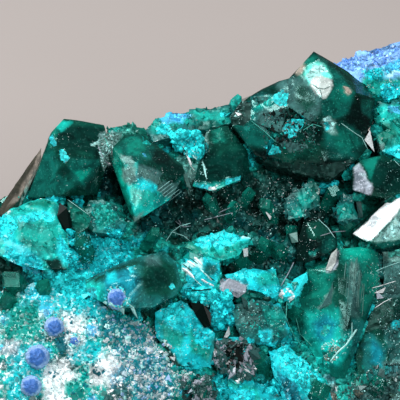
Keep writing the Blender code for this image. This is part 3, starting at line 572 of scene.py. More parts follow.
def tint_over(tints, share, colour, alpha=0.0):
    """Lay a palette colour over tints by the share of each vertex."""
    tints += share * (np.array([*linear(colour), alpha]) - tints)


SPLIT_ROUNDS = 9
TURNED_AWAY = -0.02


def split_edges(bm, seen_grid, outer_grid):
    """Cut a crystal's faces finer: most where the picture frame shows them."""
    eye = np.array(seen(0, 0, -VIEW_DISTANCE)) * MM
    for _ in range(SPLIT_ROUNDS):
        middles = np.array([(edge.verts[0].co + edge.verts[1].co) / 2 for edge in bm.edges])
        ways = np.array([sum((face.normal for face in edge.link_faces), Vector()) for edge in bm.edges])
        faces_eye = ((eye - middles) * ways).sum(1) > TURNED_AWAY
        limit = np.where(shown(middles) & faces_eye, seen_grid, outer_grid)
        long = [edge for edge, most in zip(bm.edges, limit) if edge.calc_length() > most * 1.5]
        if not long:
            break
        bmesh.ops.subdivide_edges(bm, edges=long, cuts=1)
        bmesh.ops.triangulate(bm, faces=[face for face in bm.faces if len(face.verts) > 3])


def crystal_mesh(name, seen_grid, outer_grid):
    """A copy of a crystal's solid with its flat faces whole, then cut fine enough to paint."""
    bm = bmesh.new()
    bm.from_mesh(frame["nodes"][name].data)
    bmesh.ops.remove_doubles(bm, verts=bm.verts, dist=0.001 * MM)
    bmesh.ops.dissolve_limit(bm, angle_limit=math.radians(1), verts=bm.verts, edges=bm.edges)
    bmesh.ops.triangulate(bm, faces=bm.faces)
    split_edges(bm, seen_grid, outer_grid)
    bmesh.ops.recalc_face_normals(bm, faces=bm.faces)
    mesh = bpy.data.meshes.new(name + "_faces")
    bm.to_mesh(mesh)
    bm.free()
    return mesh


def round_off(mesh, angle=9):
    """Shade a mesh smoothly inside its faces and sharply at their edges."""
    mesh.polygons.foreach_set("use_smooth", [True] * len(mesh.polygons))
    mesh.set_sharp_from_angle(angle=math.radians(angle))


# What the seen faces of each crystal look like: colour, frost, softness in pixels, corners.
# Some rows are painted light: glints and mirror faces as painted highlights and reflections,
# a soft painted glow, and black holes, crevices and undersides as painted shade.
# Later rows lie over earlier ones. Each row here and below is read by parts_of.
FACES_WITH_PAINTED_LIGHT = {}
FACES_WITH_PAINTED_LIGHT["left_crystal"] = [
    "deep green 0 3 20,110 125,110 125,205 15,205",
    "black green 0 3 56,130 66,127 103,127 110,145 100,160 84,150 70,152 52,141",
    "black green 0 5 92,165 113,152 122,190 118,210 98,198 74,188 76,180",
    "dark emerald 0.1 5 48,144 60,162 58,172 72,182 75,188 62,194 24,199 38,168",
    "dark emerald 0 4 72,158 100,160 96,172 84,188 72,180 68,168",
    "bright emerald 0.1 3 72,171 91,169 82,183",
    "black green 0 2 57,169 67,164 70,172 64,178 55,175",
    "teal 0.1 2 54,128 61,121 73,121 68,126 60,132",
    "emerald 0.1 3 50,133 56,127 58,133 52,147 46,150",
]
FACES_WITH_PAINTED_LIGHT["smoky_plate"] = [
    "brown 0.5 3 30,140 50,140 50,230 -20,230",
    "deep green 0.3 3 42,156 50,150 40,230 6,215 20,196 34,174",
    "beige 0.6 2 41,148 44,152 36,176 14,204 8,205 31,172",
]
FACES_WITH_PAINTED_LIGHT["pale_crystal"] = [
    "emerald 0.3 3 100,120 150,120 150,160 100,160",
    "teal 0.5 3 104,128 112,123 128,127 124,133 112,138",
    "grey green 0.8 3 112,133 126,130 116,146 104,158 99,152",
]
FACES_WITH_PAINTED_LIGHT["centre_crystal"] = [
    "deep green 0 2 108,128 190,128 190,226 108,226",
    "dark emerald 0.05 4 114,150 120,143 131,135 141,135 157,147 154,160 138,162 122,162",
    "emerald 0.1 5 124,140 136,136 148,144 142,156 128,154",
    "black green 0 4 156,148 170,156 182,166 184,176 176,184 163,172 152,162",
    "dark emerald 0 3 166,194 186,172 184,186 170,203",
    "emerald 0.2 3 113,148 120,146 125,162 129,186 134,216 129,211 119,188 112,164",
    "bright emerald 0.2 3 114,158 120,158 126,188 130,206 122,192",
    "sea 0.2 2 123,160 137,162 160,188 165,197 134,214 127,190",
    "cyan 0.2 3 136,172 150,176 160,190 150,196 138,190",
    "bright cyan 0.1 2 138,176 149,179 154,185 145,188 138,184",
    "grey green 0.9 2 122,168 136,168 137,180 128,186 123,178",
    "pale teal 0.8 2 131,188 141,189 141,200 136,206 131,200",
    "teal 0.4 1.5 142,190 155,192 158,198 146,206 138,206",
    "slate 1 1.5 137,164 148,165 163,173 158,185 148,181 137,175",
    "slate 1 1.2 157,191 164,181 182,184 181,187 169,203",
    "sea 0.1 1.5 134,214 166,196 174,201 147,216 136,219",
    "grey green 1 1.5 133,216 146,212 140,219 134,223",
    "grey green 0.9 2 120,156 132,157 136,166 126,166",
]
FACES_WITH_PAINTED_LIGHT["back_ridge_crystals"] = [
    "dark teal 0.2 4 140,100 240,100 240,170 140,170",
    "teal 0.3 4 150,116 165,112 192,112 192,124 170,134 150,132",
    "sky 0.3 4 157,118 170,112 186,112 182,122 164,124",
    "blue 0.3 3 173,112 182,112 180,118 172,117",
    "teal 0.3 3 194,110 230,108 230,124 210,121 195,122",
    "bright cyan 0.4 3 171,136 198,133 205,143 204,153 197,159 188,151 176,146",
    "pale teal 0.5 3 172,136 186,136 184,150 174,146",
    "dark emerald 0.1 3 194,122 212,120 230,124 228,132 206,130 196,130",
]
FACES_WITH_PAINTED_LIGHT["far_ridge_crystals"] = [
    "cornflower 0.5 5 320,40 420,30 420,90 330,90",
    "cornflower 0.6 4 335,62 352,55 372,50 400,46 400,58 370,68 345,70",
    "pale blue 0.6 3 372,52 384,51 382,60 370,60",
    "ice 0.6 3 384,66 400,60 400,72 388,76",
    "blue 0.5 3 338,64 348,60 352,66 342,70",
    "bright cyan 0.5 4 362,70 384,66 386,76 366,78",
    "teal 0.4 4 360,78 410,76 410,130 370,130",
]
FACES_WITH_PAINTED_LIGHT["right_ridge_crystals"] = [
    "teal 0.4 4 360,70 420,70 420,170 360,170",
    "dark teal 0.3 4 366,90 384,84 402,92 402,104 380,108 370,104",
    "sea 0.4 3 372,108 386,104 402,108 402,118 384,122",
    "emerald 0.2 4 376,126 392,122 398,134 386,144 376,140",
    "black green 0.1 3 372,143 386,142 384,152 374,152",
    "bright cyan 0.3 2 384,150 402,144 402,158 388,158",
]
FACES_WITH_PAINTED_LIGHT["valley_crystal"] = [
    "black green 0 3 190,118 252,118 252,200 190,200",
    "deep green 0.1 4 206,127 232,125 240,150 226,158 208,150",
    "emerald 0.2 4 212,130 222,128 226,142 214,144",
    "grey green 0.7 2 200,128 206,126 208,142 204,158 199,150",
    "teal 0.7 3 192,182 212,184 240,177 240,184 214,192 193,190",
    "black green 0 3 226,150 247,160 246,176 224,176 214,168",
]
FACES_WITH_PAINTED_LIGHT["peak_crystals"] = [
    "black green 0 2 225,40 385,40 385,200 225,200",
    "dark teal 0.7 4 250,98 262,93 276,95 272,108 256,122 248,112",
    "teal 0.1 5 250,112 256,100 272,97 272,104 258,110 254,118",
    "dark teal 0.1 4 242,103 252,96 254,118 250,120",
    "slate 0.5 5 276,84 292,78 305,73 318,92 322,104 313,122 300,118 288,106 282,94",
    "deep green 0.3 6 296,84 310,88 316,104 306,114 296,100",
    "slate 0.4 4 256,112 272,108 284,110 284,130 270,134 258,126",
    "dark emerald 0.1 4 236,122 252,122 270,136 268,150 246,144 238,134",
    "emerald 0.1 5 296,66 306,62 312,55 318,56 310,70 300,78",
    "beige 0.5 2 295,74 299,67 304,63 304,70 299,76",
    "dark emerald 0.1 3 334,79 344,79 357,92 351,104 344,117 330,121 322,112 322,102 331,90",
    "emerald 0.1 5 336,84 346,86 350,98 338,108 328,108",
    "dark emerald 0.2 4 318,56 328,60 334,70 344,76 336,79 326,68",
    "pale teal 0.9 2 303,74 308,66 318,61 326,66 334,77 330,82 320,76 310,84",
    # A painted reflection: pale grey on the face that mirrors a glint light
    "pale grey 0.1 1 310,80 317,73 326,77 333,79 331,90 323,100 316,94",
    "deep green 0.1 4 334,64 350,72 364,84 372,94 358,94 346,80",
    "black 0 3 357,96 375,99 373,122 366,136 352,126 345,120 352,106",
    "dark emerald 0 4 362,100 373,100 371,118 363,112",
    # A painted highlight: a small pinkish glint
    "beige 0.6 1.5 343,86 350,88 352,94 346,93",
    "black 0 5 254,150 272,150 274,170 262,178 250,168",
    "dark emerald 0.1 8 326,128 352,126 362,142 352,160 334,160 322,146",
    "emerald 0.1 8 334,130 350,130 358,142 348,152 336,148",
    "deep green 0.1 6 300,140 322,130 326,156 314,170 296,156",
    # Painted shade: black on the lower faces under the peak
    "black 0.2 5 244,164 262,160 290,166 330,160 356,158 340,190 250,186",
    "grey green 0.9 1.5 321,124 329,116 335,120 337,135 328,132",
    "black 0 5 312,128 322,128 324,142 314,146",
    "deep green 0 6 276,150 300,144 312,170 290,180",
]
FACES_WITH_PAINTED_LIGHT["pale_faced_crystal"] = [
    "deep green 0.1 2 345,150 420,150 420,205 345,205",
    "emerald 0.1 2 361,158 380,157 376,170 371,181 366,168",
    "lavender grey 0.5 1.2 354,167 360,164 367,178 373,189 370,196 353,190",
    "black green 0 2 377,160 402,164 402,192 378,194 372,182",
]
FACES_WITH_PAINTED_LIGHT["bright_crystal"] = [
    "dark emerald 0.2 2 345,190 420,190 420,255 345,255",
    # A painted reflection: the white mirror face, which a glint light also lights
    "white 0 1 353,234 389,200 402,195 402,205 391,221 370,241 366,241",
    "grey green 0.9 2 392,222 402,206 402,240 372,243",
    "black green 0 1 350,233 388,196 389,199 353,235",
]
FACES_WITH_PAINTED_LIGHT["small_teal_crystal"] = [
    "dark teal 0.2 2 330,190 370,190 370,230 330,230",
    "teal 0.2 4 338,206 352,204 354,218 340,220",
    "grey green 0.8 1 356,202 362,200 363,218 358,219",
]
FACES_WITH_PAINTED_LIGHT["dark_crystal"] = [
    "black 0 2 290,210 345,210 345,280 290,280",
    "deep green 0 3 308,222 320,220 332,234 318,240 308,236",
    "dark emerald 0 5 322,240 334,236 336,246 328,252 320,250",
    "teal 0.5 1 310,251 318,250 316,254 311,254",
]
FACES_WITH_PAINTED_LIGHT["upright_crystal"] = [
    "dark emerald 0.1 3 280,235 390,235 390,390 280,390",
    "emerald 0.1 6 300,270 330,262 334,300 328,320 300,320",
    "emerald 0.25 6 336,246 378,243 380,262 370,300 360,262 340,258",
    "bright emerald 0.3 12 340,244 368,242 372,256 346,262",
    "deep green 0.1 4 336,262 346,262 346,310 338,320 332,290",
    "black green 0.1 3 334,308 352,300 356,322 346,334 336,326",
    # A painted glow: soft teal and blue where light shines through the crystal
    "teal 0.3 8 306,312 338,310 344,340 322,352 306,340",
    "sea blue 0.4 8 313,322 326,315 336,322 332,338 322,344 314,336",
    "slate 0.6 7 350,262 355,260 361,284 358,318 352,316 348,290",
    "grey green 0.8 2 352,262 358,264 356,278 351,276",
    "dark emerald 0.2 3 296,346 320,366 346,374 350,385 300,385",
    "lavender grey 0.8 1.5 333,252 338,249 337,268 326,272",
    "grey green 0.8 1.5 333,284 332,302 318,311 322,304",
    "sea 0.6 5 320,346 340,338 352,330 354,342 338,366 322,362",
    "dark teal 0.2 3 352,320 364,322 362,372 354,382 350,350",
    "emerald 0.1 3 366,262 382,256 382,290 370,300 362,322 360,290",
    "teal 0.3 4 296,330 316,352 330,372 318,372 300,350",
]
FACES_WITH_PAINTED_LIGHT["right_edge_crystals"] = [
    "deep green 0.4 4 350,240 420,240 420,400 350,400",
    "grey green 0.8 3 376,244 402,242 402,262 380,262",
    "slate 0.7 4 380,262 402,262 402,300 380,296",
    "black green 0.4 3 378,302 402,298 402,330 382,336",
    "dark teal 0.3 2 369,330 387,350 384,372 372,382 364,370 362,345",
    "sea blue 0.3 4 372,340 384,352 382,366 372,362",
    "slate 0.8 3 384,362 402,356 402,400 380,400",
    "dark teal 0.5 4 384,330 402,326 402,356 388,350",
]
FACES_WITH_PAINTED_LIGHT["middle_crystal"] = [
    "dark teal 0.5 3 275,170 330,170 330,225 275,225",
    "slate 0.7 5 282,184 300,180 300,198 284,202",
    "teal 0.6 6 296,192 312,188 312,206 298,208",
    "teal 0.4 4 290,208 304,206 302,217 292,218",
    "dark emerald 0.2 3 308,178 320,178 320,206 312,200",
]
FACES_WITH_PAINTED_LIGHT["left_cyan_crystal"] = [
    "sea 0.3 3 -20,190 80,190 80,300 -20,300",
    "sea 0.2 3 11,209 19,204 37,198 52,197 60,201 57,212 34,210 16,216",
    "bright emerald 0.2 4 28,202 48,198 56,202 46,208 30,207",
    "bright cyan 0.3 2 14,217 33,211 48,211 55,216 53,221 41,217 20,222",
    "teal 0.4 5 16,224 40,220 56,224 64,240 50,252 30,250 18,240",
    "cyan 0.3 5 2,236 16,240 34,252 44,262 30,270 10,258",
    "bright cyan 0.2 4 6,216 14,220 12,236 2,240 -2,226",
    "bright cyan 0.3 4 60,240 72,250 71,270 62,262 56,250",
    "black green 0.4 2 44,260 60,258 66,270 66,280 58,282 47,266",
    "sky 0.3 4 10,262 40,266 44,278 20,274",
]
FACES_WITH_PAINTED_LIGHT["left_small_crystals"] = [
    "dark emerald 0.1 2 55,190 140,190 140,280 55,280",
    # Painted shade: black in a dark gap between the crystals
    "black 0 2 60,203 67,208 72,220 70,234 62,228 56,217",
    "emerald 0.1 3 66,203 82,210 92,218 88,227 74,232 70,214",
    "dark teal 0.5 3 90,200 112,200 128,224 110,236 92,230",
    "teal 0.5 3 94,214 108,212 112,226 98,230",
    "sea 0.4 2 72,238 92,234 104,244 100,262 78,270 70,254",
    "dark teal 0.5 4 78,246 92,242 96,256 84,262",
    "bright cyan 0.3 1.5 103,256 112,252 127,261 112,268 102,272",
    "sea 0.4 2 100,240 114,238 118,250 104,254",
]
FACES_WITH_PAINTED_LIGHT["near_crystal"] = [
    "dark teal 0.4 5 80,245 185,245 185,315 80,315",
    "sea blue 0.4 10 100,272 126,264 140,280 132,302 104,300",
    "sea 0.4 8 76,284 98,278 106,296 98,312 80,308",
    "deep green 0.3 8 142,262 160,254 176,266 180,284 170,298 146,296 138,280",
    "black green 0.2 8 146,272 164,268 170,284 156,292 146,286",
    "deep green 0.3 5 92,278 110,268 140,258 140,264 112,274 96,284",
    "cyan 0.5 5 106,274 114,272 116,280 108,282",
    "slate 0.5 5 146,258 158,256 160,264 148,266",
]
FACES_WITH_PAINTED_LIGHT["front_crystals"] = [
    "sea 0.3 3 175,225 260,225 260,300 175,300",
    "bright cyan 0.4 2 190,244 198,237 210,233 226,229 240,233 252,238 238,242 214,248",
    "bright emerald 0.2 4 186,243 196,238 204,250 206,258 190,256",
    "teal 0.3 3 212,250 238,244 238,254 222,262 208,256",
    "ice 0.6 2 228,228 242,230 250,238 240,238",
    "cyan 0.4 2 182,262 201,256 220,262 221,272 215,289 182,290",
    "dark teal 0.3 3 204,264 218,264 216,274 206,276",
    "ice 0.5 1 183,263 195,262 197,268 185,267",
    "ice 0.5 1 194,258 202,257 203,266 197,266",
    "ice 0.5 1 182,270 190,268 189,273 182,274",
]
FACES_WITH_PAINTED_LIGHT["plate_crystal"] = [
    "cyan 0.3 2 215,262 285,262 285,302 215,302",
    "sea 0.3 3 252,272 276,271 280,284 262,286",
    "bright cyan 0.4 2 226,275 244,270 262,272 256,278 236,280",
    "bright cyan 0.4 2 262,286 280,288 276,299 262,292",
    "lavender grey 0.6 1.2 220,278 234,280 246,284 247,292 238,298 220,290",
]
FACES_WITH_PAINTED_LIGHT["cyan_chip"] = [
    "bright cyan 0.3 2 275,265 315,265 315,305 275,305",
    "teal 0.2 2 290,286 308,274 308,279 294,290",
    # A painted highlight: a small white glint
    "white 0.3 1 280,292 289,289 294,297 289,299",
]
FACES_WITH_PAINTED_LIGHT["lower_crystals"] = [
    "cyan 0.4 3 140,285 310,285 310,420 140,420",
    "bright cyan 0.4 3 183,290 206,290 226,292 226,304 212,306 190,298",
    # Painted shade: black in a dark hole between the blocks
    "black 0 2 189,301 203,304 211,312 211,327 205,329 194,313",
    "sea 0.3 3 212,308 228,306 228,320 218,328",
    "bright cyan 0.4 4 162,300 178,298 184,312 178,326 164,318",
    "teal 0.4 4 156,316 168,326 186,334 180,350 164,342",
    "teal 0.4 4 188,326 212,338 210,362 190,352",
    # Painted shade: black green along a dark crevice between the blocks
    "black green 0.1 3 158,338 166,342 186,372 184,384 170,366",
    "dark teal 0.6 4 234,298 262,296 286,310 288,340 262,344 238,340 230,320",
    "slate 0.9 5 240,302 258,300 264,318 250,328 238,320",
    "teal 0.6 4 264,306 284,312 284,330 270,326",
    "cyan 0.5 2.5 260,330 272,330 272,346 262,346",
    "dark teal 0.5 3 212,339 256,339 258,376 238,386 213,366",
    "black green 0.2 3 254,348 264,350 282,380 282,400 270,392 256,362",
    "sea 0.5 3 222,380 256,386 262,402 222,402",
]
FACES_WITH_PAINTED_LIGHT["diagonal_crystal"] = [
    "cyan 0.5 3 265,330 345,330 345,420 265,420",
    "bright cyan 0.6 3 282,342 296,350 318,372 316,392 296,378 276,362",
    "cyan 0.5 4 276,366 300,384 312,402 288,402 274,380",
    "sea 0.4 3 304,356 328,378 330,402 318,396 312,376",
]
FACES_WITH_PAINTED_LIGHT["lower_right_block"] = [
    "sea 0.5 4 320,360 420,360 420,420 320,420",
    "slate 0.8 4 352,376 402,366 402,402 352,402",
    "teal 0.5 4 328,372 352,376 356,402 330,402",
    # A painted highlight: a small white glint
    "white 0.4 1 335,387 339,386 338,397 334,397",
]

# Crust on the crystals, and a dark patch of painted shade under the peak: colour, amount, corners
COATS_AND_PAINTED_SHADE = {}
COATS_AND_PAINTED_SHADE["left_crystal"] = [
    "bright cyan 1 58,149 64,150 70,156 66,164 61,160",
    "cyan 1 48,136 52,135 58,146 54,148 49,142",
    "ice 0.9 88,144 97,140 104,136 104,141 95,147",
    "grey green 1 99,132 112,128 112,170 106,176 100,160 98,146",
    "ice 0.8 101,140 110,136 110,150 104,162",
]
COATS_AND_PAINTED_SHADE["pale_crystal"] = [
    "white 0.8 98,150 112,148 112,160 100,164",
    "pale teal 0.8 118,130 132,126 134,132 122,136",
]
COATS_AND_PAINTED_SHADE["centre_crystal"] = [
    "sea 0.8 141,136 150,140 152,146 144,146",
    "pale teal 0.7 124,176 130,176 130,182 124,182",
    "sky 0.7 143,150 150,152 148,157 142,156",
]
COATS_AND_PAINTED_SHADE["back_ridge_crystals"] = [
    "bright cyan 1 156,124 164,122 172,128 176,136 164,136 156,132",
    "sky 1 168,112 188,111 190,118 174,118",
    "bright cyan 1 178,137 198,134 204,144 203,152 196,158 190,150",
    "bright cyan 0.9 219,111 230,111 230,118 220,118",
    "teal 0.9 150,116 160,114 158,124 150,126",
]
COATS_AND_PAINTED_SHADE["far_ridge_crystals"] = [
    "cornflower 1 332,64 352,56 370,52 402,46 402,58 376,68 350,72 336,72",
    "sky 1 384,64 402,58 402,70 386,74",
    "cyan 1 366,70 384,68 384,80 368,82",
    "cyan 0.9 378,84 400,80 402,100 382,104",
]
COATS_AND_PAINTED_SHADE["right_ridge_crystals"] = [
    "cyan 1 366,84 380,82 392,92 388,100 372,98",
    "sky 0.8 386,104 402,106 402,114 388,114",
    "bright cyan 1 384,150 402,146 402,158 388,158",
]
COATS_AND_PAINTED_SHADE["valley_crystal"] = [
    "cyan 0.9 194,182 212,185 210,192 196,190",
    "white 0.8 206,186 222,184 214,192 208,191",
    "cyan 0.9 222,180 242,174 242,182 226,187",
    "pale teal 0.8 228,122 240,122 240,132 232,132",
]
COATS_AND_PAINTED_SHADE["peak_crystals"] = [
    "bright cyan 1 273,94 282,90 289,92 288,106 279,106 272,100",
    "bright cyan 1 281,128 292,117 303,115 304,123 296,137 286,139",
    "ice 0.7 286,126 296,120 296,130 288,134",
    "bright cyan 1 263,145 278,146 280,154 268,155",
    "sea 0.9 266,100 274,98 272,106 264,108",
    "black green 1 229,118 241,99 250,100 252,118 244,126 230,125",
    "dark teal 0.9 252,98 262,94 270,97 262,104 254,108",
    "slate 0.8 262,122 280,138 304,142 314,150 290,154 270,140",
    "ice 0.9 320,118 330,115 337,124 332,134",
    "bright cyan 0.9 322,124 330,118 332,128 326,132",
    "ice 0.75 303,76 312,64 322,62 330,72 320,75 310,82",
    "teal 0.8 242,126 252,124 254,132 244,133",
    # Painted shade: a dark coat on the lower faces under the peak
    "black green 1 250,156 280,162 320,166 352,158 344,184 256,184",
]
COATS_AND_PAINTED_SHADE["bright_crystal"] = ["ice 0.8 380,236 400,212 402,236 384,242"]
COATS_AND_PAINTED_SHADE["upright_crystal"] = [
    "sea 0.6 316,328 324,322 334,324 330,336 322,342",
    "teal 0.85 320,352 334,344 342,350 332,362 324,362",
    "sea 0.9 336,342 352,330 356,334 342,352",
]
COATS_AND_PAINTED_SHADE["right_edge_crystals"] = [
    "pale teal 0.9 384,246 402,244 402,256 388,258",
    "cyan 0.9 388,322 402,318 402,330 392,332",
    "slate 0.9 386,366 402,362 402,388 390,392",
    "deep green 1 366,300 394,300 394,328 366,332",
    "dark teal 1 384,330 402,328 402,360 388,360",
]
COATS_AND_PAINTED_SHADE["left_cyan_crystal"] = [
    "bright cyan 1 -4,212 12,214 18,224 8,240 -4,236",
    "bright cyan 1 16,217 34,211 54,214 54,222 40,219 20,222",
    "cyan 1 4,244 24,254 44,262 40,272 18,266 2,256",
    "cyan 0.9 58,232 66,238 72,252 71,270 62,256",
    "white 0.7 6,208 14,208 13,214 5,214",
]
COATS_AND_PAINTED_SHADE["left_small_crystals"] = [
    "teal 0.9 92,204 108,202 122,216 112,226 96,220",
    "cyan 1 104,226 122,226 130,240 112,244",
    "bright cyan 1 103,256 112,252 126,261 112,267",
    "cyan 1 70,238 84,236 84,250 72,256",
]
COATS_AND_PAINTED_SHADE["near_crystal"] = [
    "bright cyan 0.9 168,282 175,282 176,289 169,290",
    "cyan 0.8 126,266 136,264 136,276 128,276",
    "cyan 0.8 84,288 96,286 98,306 86,304",
]
COATS_AND_PAINTED_SHADE["front_crystals"] = [
    "bright cyan 1 192,245 204,236 222,230 244,236 236,244 212,248",
    "ice 0.9 224,229 246,232 252,238 238,236",
    "cyan 1 188,276 212,280 214,290 186,290",
]
COATS_AND_PAINTED_SHADE["plate_crystal"] = [
    "bright cyan 1 226,275 246,270 262,272 250,279 236,281",
    "cyan 1 262,288 280,290 274,300 264,294",
]
COATS_AND_PAINTED_SHADE["lower_crystals"] = [
    "bright cyan 1 184,290 224,292 226,300 206,302 188,298",
    "bright cyan 1 160,300 180,298 186,314 176,328 162,318",
    "cyan 1 190,322 212,334 210,352 196,344",
    "slate 0.8 238,304 258,302 266,318 250,330 236,320",
    "cyan 1 258,330 272,330 272,346 260,346",
    "cyan 1 226,386 254,388 258,402 226,402",
]
COATS_AND_PAINTED_SHADE["diagonal_crystal"] = [
    "bright cyan 1 282,342 298,352 322,376 326,400 306,396 280,362",
    "ice 0.9 304,372 316,378 320,392 308,388",
    "sea blue 1 276,368 298,384 304,402 286,402",
]
COATS_AND_PAINTED_SHADE["lower_right_block"] = [
    "teal 0.9 328,374 350,378 352,400 332,400",
    "white 0.7 366,382 384,378 386,396 368,398",
    "slate 0.9 352,380 402,370 402,402 352,402",
]

# Height of a crystal's own grain in mm, and the colour of its faces where no row above tells it
COARSENESS = {"emerald": 0.02, "teal": 0.22, "smoky": 0.05}
BODY_OF_SLOT = {"emerald": "deep green", "teal": "teal", "smoky": "brown"}
COAT_SOFTNESS = 6.0


def painted_faces(name, points, mesh):
    """The tint and frost of a crystal, with its painted highlights, reflections, glow and shade, and the
    crust on it, for each vertex.
    """
    slot = SLOTS[name]
    body = plain(len(points), BODY_OF_SLOT[slot])
    coat = plain(len(points), "cyan")
    places = picture(points) + wander(points, 0.6 * MM)[:, :2] * 2.2
    for colour, frost, soft, corners in map(parts_of, FACES_WITH_PAINTED_LIGHT.get(name, [])):
        tint_over(body, within(places, corners, soft), colour, frost)
    for colour, amount, corners in map(parts_of, COATS_AND_PAINTED_SHADE.get(name, [])):
        share = np.clip(0.42 - outline_distance(places, corners) / COAT_SOFTNESS, 0, 1) * amount
        stronger = share > coat[:, 3]
        coat[stronger] = np.column_stack((plain(len(points), colour)[:, :3], share))[stronger]
    return body, coat


def crystal_looks():
    """The finish of each slot of crystals."""
    clear_green = crystal_material("dioptase natural face", 0.45, 1.95, 0.09, 0.5)
    cloudy = crystal_material("dioptase cloudy", 0.15, 1.05, 0.3, 0.5, (0.05, 0.85, 0.80, 1), 400.0)
    smoky = crystal_material("quartz plate smoky", 0.5, 0.9, 0.2, 0.5, (0.55, 0.50, 0.42, 1), 300.0)
    return {"emerald": clear_green, "teal": cloudy, "smoky": smoky}


class DIOPTASE_OT_crystals(bpy.types.Operator):
    """Dress every large crystal in faces that are painted and slightly waved"""

    bl_idname = "dioptase.crystals"
    bl_label = "Crystals"

    def execute(self, context):
        sizes = context.scene.dioptase_crystals
        looks = crystal_looks()
        for name, slot in SLOTS.items():
            if slot not in looks:
                continue
            mesh = crystal_mesh(name, sizes.seen_grid, sizes.outer_grid)
            points = places_of(mesh)
            body, coat = painted_faces(name, points, mesh)
            relief = cloud(points, 0.9 * MM) * sizes.facet_wave
            relief += grain_relief(points, 0.4 * MM) * sizes.crust_height * coat[:, 3]
            relief += grain_relief(points, 1.0 * MM, 5.0) * COARSENESS[slot] * MM * (0.3 + body[:, 3])
            move_to(mesh, points + normals_of(mesh) * relief[:, None])
            paint(mesh, "body", body)
            paint(mesh, "coat", coat)
            round_off(mesh)
            put_in_scene(name + "_faces", mesh, looks[slot], slot, name)
        return {"FINISHED"}


# The rock under the crust, with the same top, wall and fractures as its solid

ROCK_WIDTH = 50.0
ROCK_DEPTH = 40.0
ROCK_CELLS = (19, 15)
HILL_REACH = 3.3
# Heights of the rock's top: (x, y, height)
HILL = [
    (1.6, 2.8, 15.6), (5.0, 5.3, 18.0), (-2.0, 1.4, 15.6), (-7.0, -0.1, 15.4), (-9.0, 2.4, 16.8),
    (-6.0, 8.3, 19.0), (-0.8, 10.3, 18.4), (-10.0, 9.8, 16.2), (8.0, 11.0, 20.0),
    (12.5, 12.5, 21.8), (16.5, 13.0, 22.2), (13.0, 4.9, 18.4), (16.0, 9.0, 19.4),
    (16.5, 2.6, 16.2), (11.0, 1.4, 15.2), (14.5, -0.9, 12.6), (16.0, -5.2, 7.4),
    (1.0, -2.1, 14.2), (4.0, -4.2, 11.6), (6.5, -5.1, 10.3), (2.0, -6.9, 9.6), (4.0, -8.6, 7.6),
    (8.0, -7.0, 8.0), (-12.0, -1.4, 15.2), (-9.0, -3.1, 13.8), (-5.0, -6.1, 13.0),
    (-11.0, -7.3, 12.6), (-13.0, -11.8, 9.4), (-6.0, -10.9, 10.0), (-2.0, -12.8, 7.6),
    (8.0, -11.3, 4.2), (-17.5, 4.0, 12.6), (-23.5, 2.0, 7.5), (-23.0, -8.0, 5.5),
    (-20.0, 12.0, 8.5), (20.0, 3.0, 13.0), (24.0, 0.0, 7.5), (23.0, 9.0, 12.5),
    (20.5, 13.5, 19.0), (22.0, -8.0, 5.5), (0.0, -19.0, 5.5), (12.0, -17.0, 4.0),
    (-14.0, -18.0, 6.0), (-4.0, 15.0, 14.5), (0.0, 19.0, 10.5), (-12.0, 17.0, 10.0),
    (9.0, 18.5, 14.0), (16.0, 19.0, 18.5), (13.0, 13.5, 24.2), (16.5, 13.5, 24.6),
    (15.0, 15.5, 23.0), (12.0, 10.5, 22.5),
]
LOWEST_TOP = 1.6
# Rings of the wall from its rim down: (height as a share of the one above, bulge)
WALL = [(0.7, 1.02), (0.6, 0.99), (0.45, 1.015), (0.0, 0.93)]
WALL_STEPS = 9
WALL_TOP = 8.0
# Pits in the rock: (x, y, reach, depth)
PITS = [(-19.5, -1.0, 2.6, 1.8), (-1.5, -16.5, 2.4, 1.6), (19.5, -3.5, 2.2, 1.6), (3.0, 15.5, 2.8, 1.8)]
# Flat fractures that cut the rock's sides: (direction, tilt) in degrees
FRACTURES = [
    (8, 12), (38, 30), (64, -6), (92, 22), (121, 6), (148, 28), (176, 4), (203, 24), (232, 10),
    (262, 34), (291, 14), (322, 28), (346, -8),
]


def hill(x, y):
    """Height of the rock's top before its roughness: a smooth blend of the places in HILL."""
    total = 0.0
    weight = 1e-9
    for near_x, near_y, height in HILL:
        away = (x - near_x) ** 2 + (y - near_y) ** 2
        share = np.exp(-away / (2 * HILL_REACH**2)) + 1e-7
        total = total + share * height
        weight = weight + share
    return total / weight


def rough(x, y, z):
    """Lumps, ledges and pits of the broken rock, as a change of height."""
    lumps = 0.8 * noise.noise(Vector((x, y, z)) * 0.33) + 0.4 * noise.noise(Vector((x, y, z)) * 0.9)
    ledge = 0.35 * math.sin(2 * math.pi * (z + 0.25 * x) / 2.4)
    pits = 0.0
    for pit_x, pit_y, reach, deep in PITS:
        pits -= deep * math.exp(-((x - pit_x) ** 2 + (y - pit_y) ** 2) / (0.5 * reach**2))
    return lumps + ledge + pits


def rim_shape(u, v):
    """Map a square from -1 to 1 onto the rock's rounded, slightly uneven outline."""
    x = u * np.sqrt(1 - 0.36 * v * v)
    y = v * np.sqrt(1 - 0.36 * u * u)
    angle = np.arctan2(y, x)
    uneven = 1 + 0.045 * np.sin(3 * angle + 0.6) + 0.03 * np.sin(5 * angle + 2.0)
    uneven = uneven + 0.02 * np.sin(9 * angle)
    return x * uneven, y * uneven


def coarse_top():
    """Corners of the rock's top as its solid has them, as a grid of places in millimetres."""
    columns, rows = ROCK_CELLS
    grid = np.empty((columns + 1, rows + 1, 3))
    for column in range(columns + 1):
        for row in range(rows + 1):
            x, y = rim_shape(2 * column / columns - 1, 2 * row / rows - 1)
            x *= ROCK_WIDTH / 2
            y *= ROCK_DEPTH / 2
            z = float(hill(x, y))
            grid[column, row] = (x, y, max(z + rough(x, y, z), LOWEST_TOP))
    return grid


